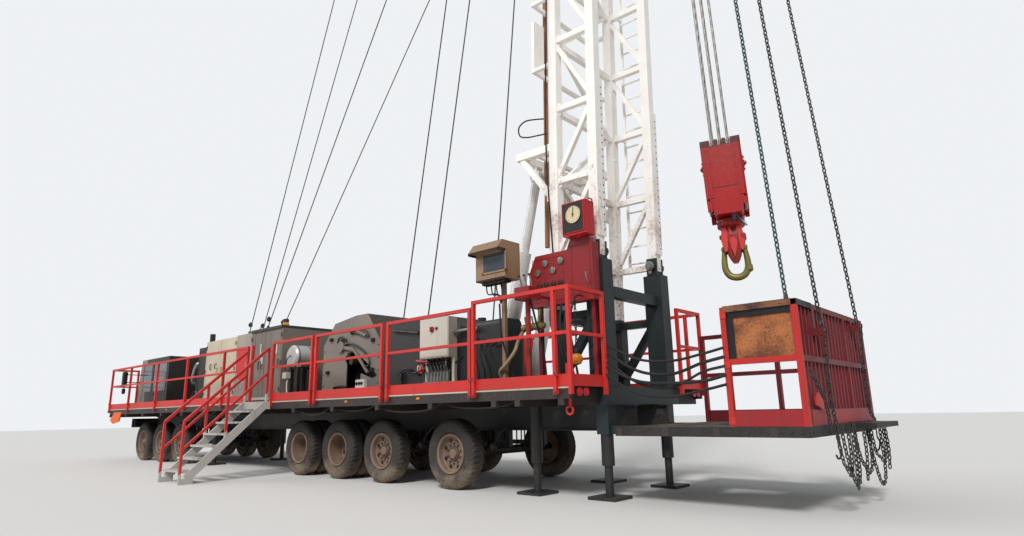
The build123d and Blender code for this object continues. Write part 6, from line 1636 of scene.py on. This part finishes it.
        # A dark strip on each side of the shank: painted shade standing in for the slot.
        slots = [slab((-0.05, side * 0.087, -1.285), (0.05, side * 0.094, -1.255), 0.003) for side in (-1, 1)]
        piece("hook_slots", slots, Finish.OILY_BLACK, body, seat=BLOCK_SEAT)
        line = bend([(-0.128, 0, -1.5), (-0.138, 0, -1.6), (-0.146, 0, -1.7), (-0.138, 0, -1.79),
                     (-0.09, 0, -1.87), (0.0, 0, -1.9), (0.09, 0, -1.87), (0.138, 0, -1.79), (0.146, 0, -1.7),
                     (0.138, 0, -1.6), (0.128, 0, -1.5)], 8)
        share = np.linspace(-1, 1, len(line))
        size = 1.0 - 0.35 * share ** 2
        ring = [carried(circle(0.046, 16), line, size=size)]
        ring += [turned([(0.0, -0.05), (0.03, -0.045), (0.04, -0.02), (0.04, 0.02), (0.03, 0.045),
                         (0.0, 0.05)], (side * 0.128, 0, -1.5), FAR, 18) for side in (-1, 1)]
        ring.append(slab((0.11, -0.05, -1.84), (0.2, 0.05, -1.74), 0.02))
        piece("hook_ring", ring, Finish.OLIVE, body, seat=BLOCK_SEAT)
        lever = [tube([(0.06, -0.17, -1.06), (0.11, -0.18, -1.12), (0.2, -0.19, -1.26)], 0.012, 8),
                 slab((0.03, -0.2, -1.16), (0.08, -0.15, -1.02), 0.008)]
        piece("hook_lever", lever, Finish.BLUE_STEEL, body, seat=BLOCK_SEAT)

    def chains(self) -> None:
        """Linked chains from the floor to the crown, their tails and the loops that hang from the ledge."""
        ends = [MAST_SEAT.at(self.head_out, head, self.head_level) for head in self.heads]
        lines = [np.array([foot, tuple(end)]) for foot, end in zip(self.feet, ends)]
        shackles = [loop((f[0], f[1], f[2] + 0.03), 0.04, 0.012, REARWARD, segments=18, sides=6)
                    for f in self.feet]
        shackles += [loop(tuple(e), 0.05, 0.014, REARWARD, segments=18, sides=6) for e in ends]
        tails = [[(9.8, -0.755, 1.96), (9.76, -0.73, 1.5), (9.75, -0.68, 1.1), (9.76, -0.66, 0.93)],
                 [(9.8, 0.775, 2.13), (9.76, 0.79, 1.6), (9.76, 0.8, 1.1), (9.8, 0.82, 0.95)],
                 [(9.75, -1.3, 1.5), (9.8, -1.1, 1.2), (9.78, -0.95, 0.95)],
                 [(9.8, -0.28, 0.95), (9.8, -0.26, 0.6), (9.78, -0.22, 0.24)],
                 [(9.8, 0.2, 0.92), (9.8, 0.22, 0.6), (9.78, 0.2, 0.3)],
                 [(9.82, 1.14, 0.92), (9.83, 1.16, 0.6), (9.82, 1.12, 0.36)]]
        for start, end, low in ((-0.78, -0.4, 0.42), (-0.6, -0.14, 0.3), (-0.12, 0.46, 0.38),
                                (0.42, 1.02, 0.22), (0.6, 1.2, 0.45)):
            third = (end - start) / 3
            tails.append([(9.78, start, 0.93), (9.8, start + 0.2 * third, 0.6),
                          (9.81, start + third, low + 0.06), (9.82, start + 1.6 * third, low),
                          (9.81, end - 0.4 * third, low + 0.16), (9.79, end, 0.92)])
        chain = [links(line, *self.link) for line in lines[1:]] + [links(bend(t, 8), *self.tail_link)
                                                                   for t in tails]
        piece("well_chains", chain + shackles, Finish.CHAIN, stands_for=("floor_chains",))
        piece("teal_chain", [links(lines[0], *self.link)], Finish.TEAL_CHAIN)
        grabs = [s for x, y in ((9.74, -0.6), (9.76, 0.98))
                 for s in (tube([(x, y, 0.74), (x + 0.02, y, 0.68), (x, y + 0.01, 0.6),
                                 (x - 0.03, y + 0.02, 0.58), (x - 0.045, y + 0.02, 0.62)], 0.01, 8),
                           tube([(x, y, 0.93), (x, y, 0.74)], 0.008, 6))]
        piece("chain_hooks", grabs, Finish.OILY_BLACK)

    def guys(self) -> None:
        """Shackles, thimbles and clips at the guy lines' feet and the dead line's anchor."""
        made = []
        for x, y, z in ((-3.24, -0.9, 3.08), (-3.22, -0.6, 3.08), (-2.33, -0.9, 3.12), (-2.6, -0.4, 3.12)):
            made.append(loop((x, y, z + 0.05), 0.05, 0.014, FAR, segments=20, sides=8))
            made.append(slab((x - 0.06, y - 0.06, z), (x + 0.06, y + 0.06, z + 0.014), 0.004))
            made.append(turned([(0.02, 0.0), (0.05, 0.03), (0.05, 0.08), (0.02, 0.12)],
                               (x + 0.01, y, z + 0.2), (0.1, 0, 1), 12))
            made += [bolt((x + dx, y + dy, z + 0.014), UP, 0.022, 0.01) for dx in (-0.04, 0.04)
                     for dy in (-0.04, 0.04)]
        piece("guy_shackles", made, Finish.DARK_STEEL)

    def build(self) -> None:
        """Dresses the lifting gear and builds its ropes, hook and chains."""
        self.ropes()
        self.block()
        self.hook()
        self.chains()
        self.guys()
        self.dress(Finish.WIRE, "wire_lines")


@dataclass
class WorkFloor(Assembly):
    """The floor at the well with its railing and the rusty wind plate."""

    end: float = 9.69
    near: float = -1.295
    rail_top: float = 2.17

    def hoses(self) -> list[Surface]:
        """Hoses that sag from the mast base to the floor's gate post."""
        made = []
        for index in range(5):
            start, sag = 1.98 - 0.09 * index, 0.28 + 0.07 * (index % 3)
            y = -0.94 - 0.03 * index
            end = (8.87, -1.31, 1.78 - 0.1 * index)
            made.append(tube([(7.1, y, start), (7.6, y - 0.05, start - sag * 0.8),
                              (8.1, y - 0.12, start - sag), (8.6, -1.3, end[2] - 0.05), end],
                             0.016 + 0.003 * (index % 2), 8))
        return made

    def build(self) -> None:
        """Dresses the floor and adds its detail."""
        self.dress(Finish.FLOOR_PLATE, "work_floor")
        # The railing's maroon band on its end and far faces is painted shade.
        self.dress(Finish.FLOOR_RED, "floor_railing")
        self.dress(Finish.RUSTY_PLATE, "wind_plate")
        near = self.near
        angle = [prism([(0.0, 0.0), (0.07, 0.0), (0.07, 0.012), (0.012, 0.012), (0.012, 0.07), (0.0, 0.07)],
                       (8.9, near - 0.012, self.rail_top), FAR, UP, 0.74)]
        piece("top_angle", angle, Finish.RUSTY_ANGLE)
        black = [slab((8.92, near + 0.016, 1.65), (9.0, near + 0.028, self.rail_top), 0.003),
                 slab((8.92, near + 0.014, 2.1), (9.63, near + 0.026, self.rail_top), 0.003)]
        black += [slab((self.end - 0.06, near, self.rail_top), (self.end + 0.006, near + 0.5, 2.236), 0.003)]
        piece("plate_frame", black, Finish.OILY_BLACK)
        toe = [slab((8.92, near - 0.006, 0.935), (9.63, near, 1.1), 0.002),
               slab((self.end, -1.2, 0.94), (self.end + 0.006, 1.2, 1.09), 0.002)]
        piece("toe_plates", toe, Finish.TOE_RED)
        trim = [slab((8.86, near - 0.008, z), (8.93, near, z + 0.08), 0.003) for z in (0.95, 1.55, 2.1)]
        trim += [prism([(0.0, 0.0), (0.2, -0.05), (0.24, 0.03), (0.1, 0.13), (0.0, 0.1)],
                       (self.end + 0.012, -1.1, 1.14), FAR, UP, 0.02)]
        piece("floor_trim", trim, Finish.RAIL_RED)
        piece("floor_hoses", self.hoses(), Finish.HOSE)
        feet = bolts_along((8.95, near, 0.87), (9.6, near, 0.87), 7, NEAR) + bolts_along(
            (self.end, -1.2, 0.87), (self.end, 1.2, 0.87), 10, REARWARD)
        feet += [slab((7.42 + 0.62 * i, near - 0.004, 0.825), (7.5 + 0.62 * i, near, 0.925), 0.002)
                 for i in range(4)]
        piece("floor_bolts", feet, Finish.DARK_STEEL)
        ring = [prism([(0.0, 0.0), (0.1, -0.02), (0.13, 0.1), (0.08, 0.2), (0.0, 0.22)], (6.96, -1.66, 1.5),
                      REARWARD, UP, 0.02), tube([(6.99, -1.66, 1.62), (6.99, -1.66, 1.2)], 0.03, 12),
                loop((6.99, -1.66, 1.14), 0.05, 0.014, FAR, segments=24)]
        piece("rail_ring", ring, Finish.RAIL_RED)


@dataclass
class Studio:
    """The pale floor, the soft lights and the camera at the photograph's viewing angle."""

    place: Triple = (11.80, -8.095, 1.13)
    right: Triple = (0.7442, 0.6678, -0.0191)
    ahead: Triple = (-0.6479, 0.7284, 0.2229)
    lens: float = 22.148
    clip: float = 500.0
    ambient: float = 0.42
    reach: float = 90.0

    def camera(self) -> None:
        """Sets the camera by its own right, up and back directions."""
        ahead = np.asarray(self.ahead) / np.linalg.norm(self.ahead)
        right = np.asarray(self.right) - ahead * float(np.dot(self.right, ahead))
        right /= np.linalg.norm(right)
        rise = np.cross(right, ahead)
        made = bpy.data.objects.new("camera", bpy.data.cameras.new("camera"))
        made.data.lens = self.lens
        made.data.clip_end = self.clip
        bpy.context.scene.collection.objects.link(made)
        rows = [(*(float(v[i]) for v in (right, rise, -ahead)), self.place[i]) for i in range(3)]
        made.matrix_world = Matrix(rows + [(0, 0, 0, 1)])
        bpy.context.scene.camera = made

    def sun(self, name: str, strength: float, soft: float, turn: Triple) -> None:
        """A soft distant light, turned by degrees about X, Y and Z."""
        lamp = bpy.data.lights.new(name, "SUN")
        lamp.energy = strength
        lamp.angle = math.radians(soft)
        made = bpy.data.objects.new(name, lamp)
        made.rotation_euler = [math.radians(v) for v in turn]
        bpy.context.scene.collection.objects.link(made)

    def world(self) -> None:
        """Even light from all round, with a pale background for the camera and for reflections."""
        world = bpy.data.worlds.new("studio")
        bpy.context.scene.world = world
        world.use_nodes = True
        tree = world.node_tree
        tree.nodes.clear()
        path = tree.nodes.new("ShaderNodeLightPath")
        seen = tree.nodes.new("ShaderNodeMath")
        seen.operation = "MAXIMUM"
        tree.links.new(path.outputs["Is Camera Ray"], seen.inputs[0])
        tree.links.new(path.outputs["Is Transmission Ray"], seen.inputs[1])
        lit, shown, mix = (tree.nodes.new(k) for k in ("ShaderNodeBackground", "ShaderNodeBackground",
                                                      "ShaderNodeMixShader"))
        lit.inputs["Color"].default_value = (0.9, 0.95, 1.0, 1)
        lit.inputs["Strength"].default_value = self.ambient
        shown.inputs["Color"].default_value = (0.86, 0.88, 0.9, 1)
        shown.inputs["Strength"].default_value = 1.0
        tree.links.new(seen.outputs[0], mix.inputs[0])
        tree.links.new(lit.outputs[0], mix.inputs[1])
        tree.links.new(shown.outputs[0], mix.inputs[2])
        output = tree.nodes.new("ShaderNodeOutputWorld")
        tree.links.new(mix.outputs[0], output.inputs[0])

    def floor(self) -> None:
        """A wide pale floor."""
        mesh = bpy.data.meshes.new("floor")
        reach = self.reach
        corners = [(-reach, -reach, 0), (reach, -reach, 0), (reach, reach, 0), (-reach, reach, 0)]
        mesh.from_pydata(corners, [], [(0, 1, 2, 3)])
        made = bpy.data.objects.new("floor", mesh)
        bpy.context.scene.collection.objects.link(made)
        graph = Graph("studio_floor")
        made.data.materials.append(graph.shade({"Base Color": (0.72, 0.70, 0.67, 1), "Roughness": 0.9}))

    def build(self) -> None:
        """Sets up the studio."""
        self.camera()
        self.sun("key_light", 2.3, 12, (48, 8, 20))
        self.sun("fill_light", 0.7, 40, (60, 0, -60))
        self.world()
        self.floor()
        bpy.context.scene.view_settings.view_transform = "Standard"


def main() -> None:
    """Builds the studio and every sub-assembly."""
    logging.basicConfig(level=logging.INFO, format="%(message)s")
    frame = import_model()
    Studio().build()
    for kind in (Wheels, Carrier, Cab, EngineBay, Cabinets, Drawworks, Hydraulics, OperatorStation, Mast,
                 Lifting, WorkFloor):
        log.info("building %s", kind.__name__)
        kind(frame["nodes"]).build()
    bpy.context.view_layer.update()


if __name__ == "__main__":
    main()
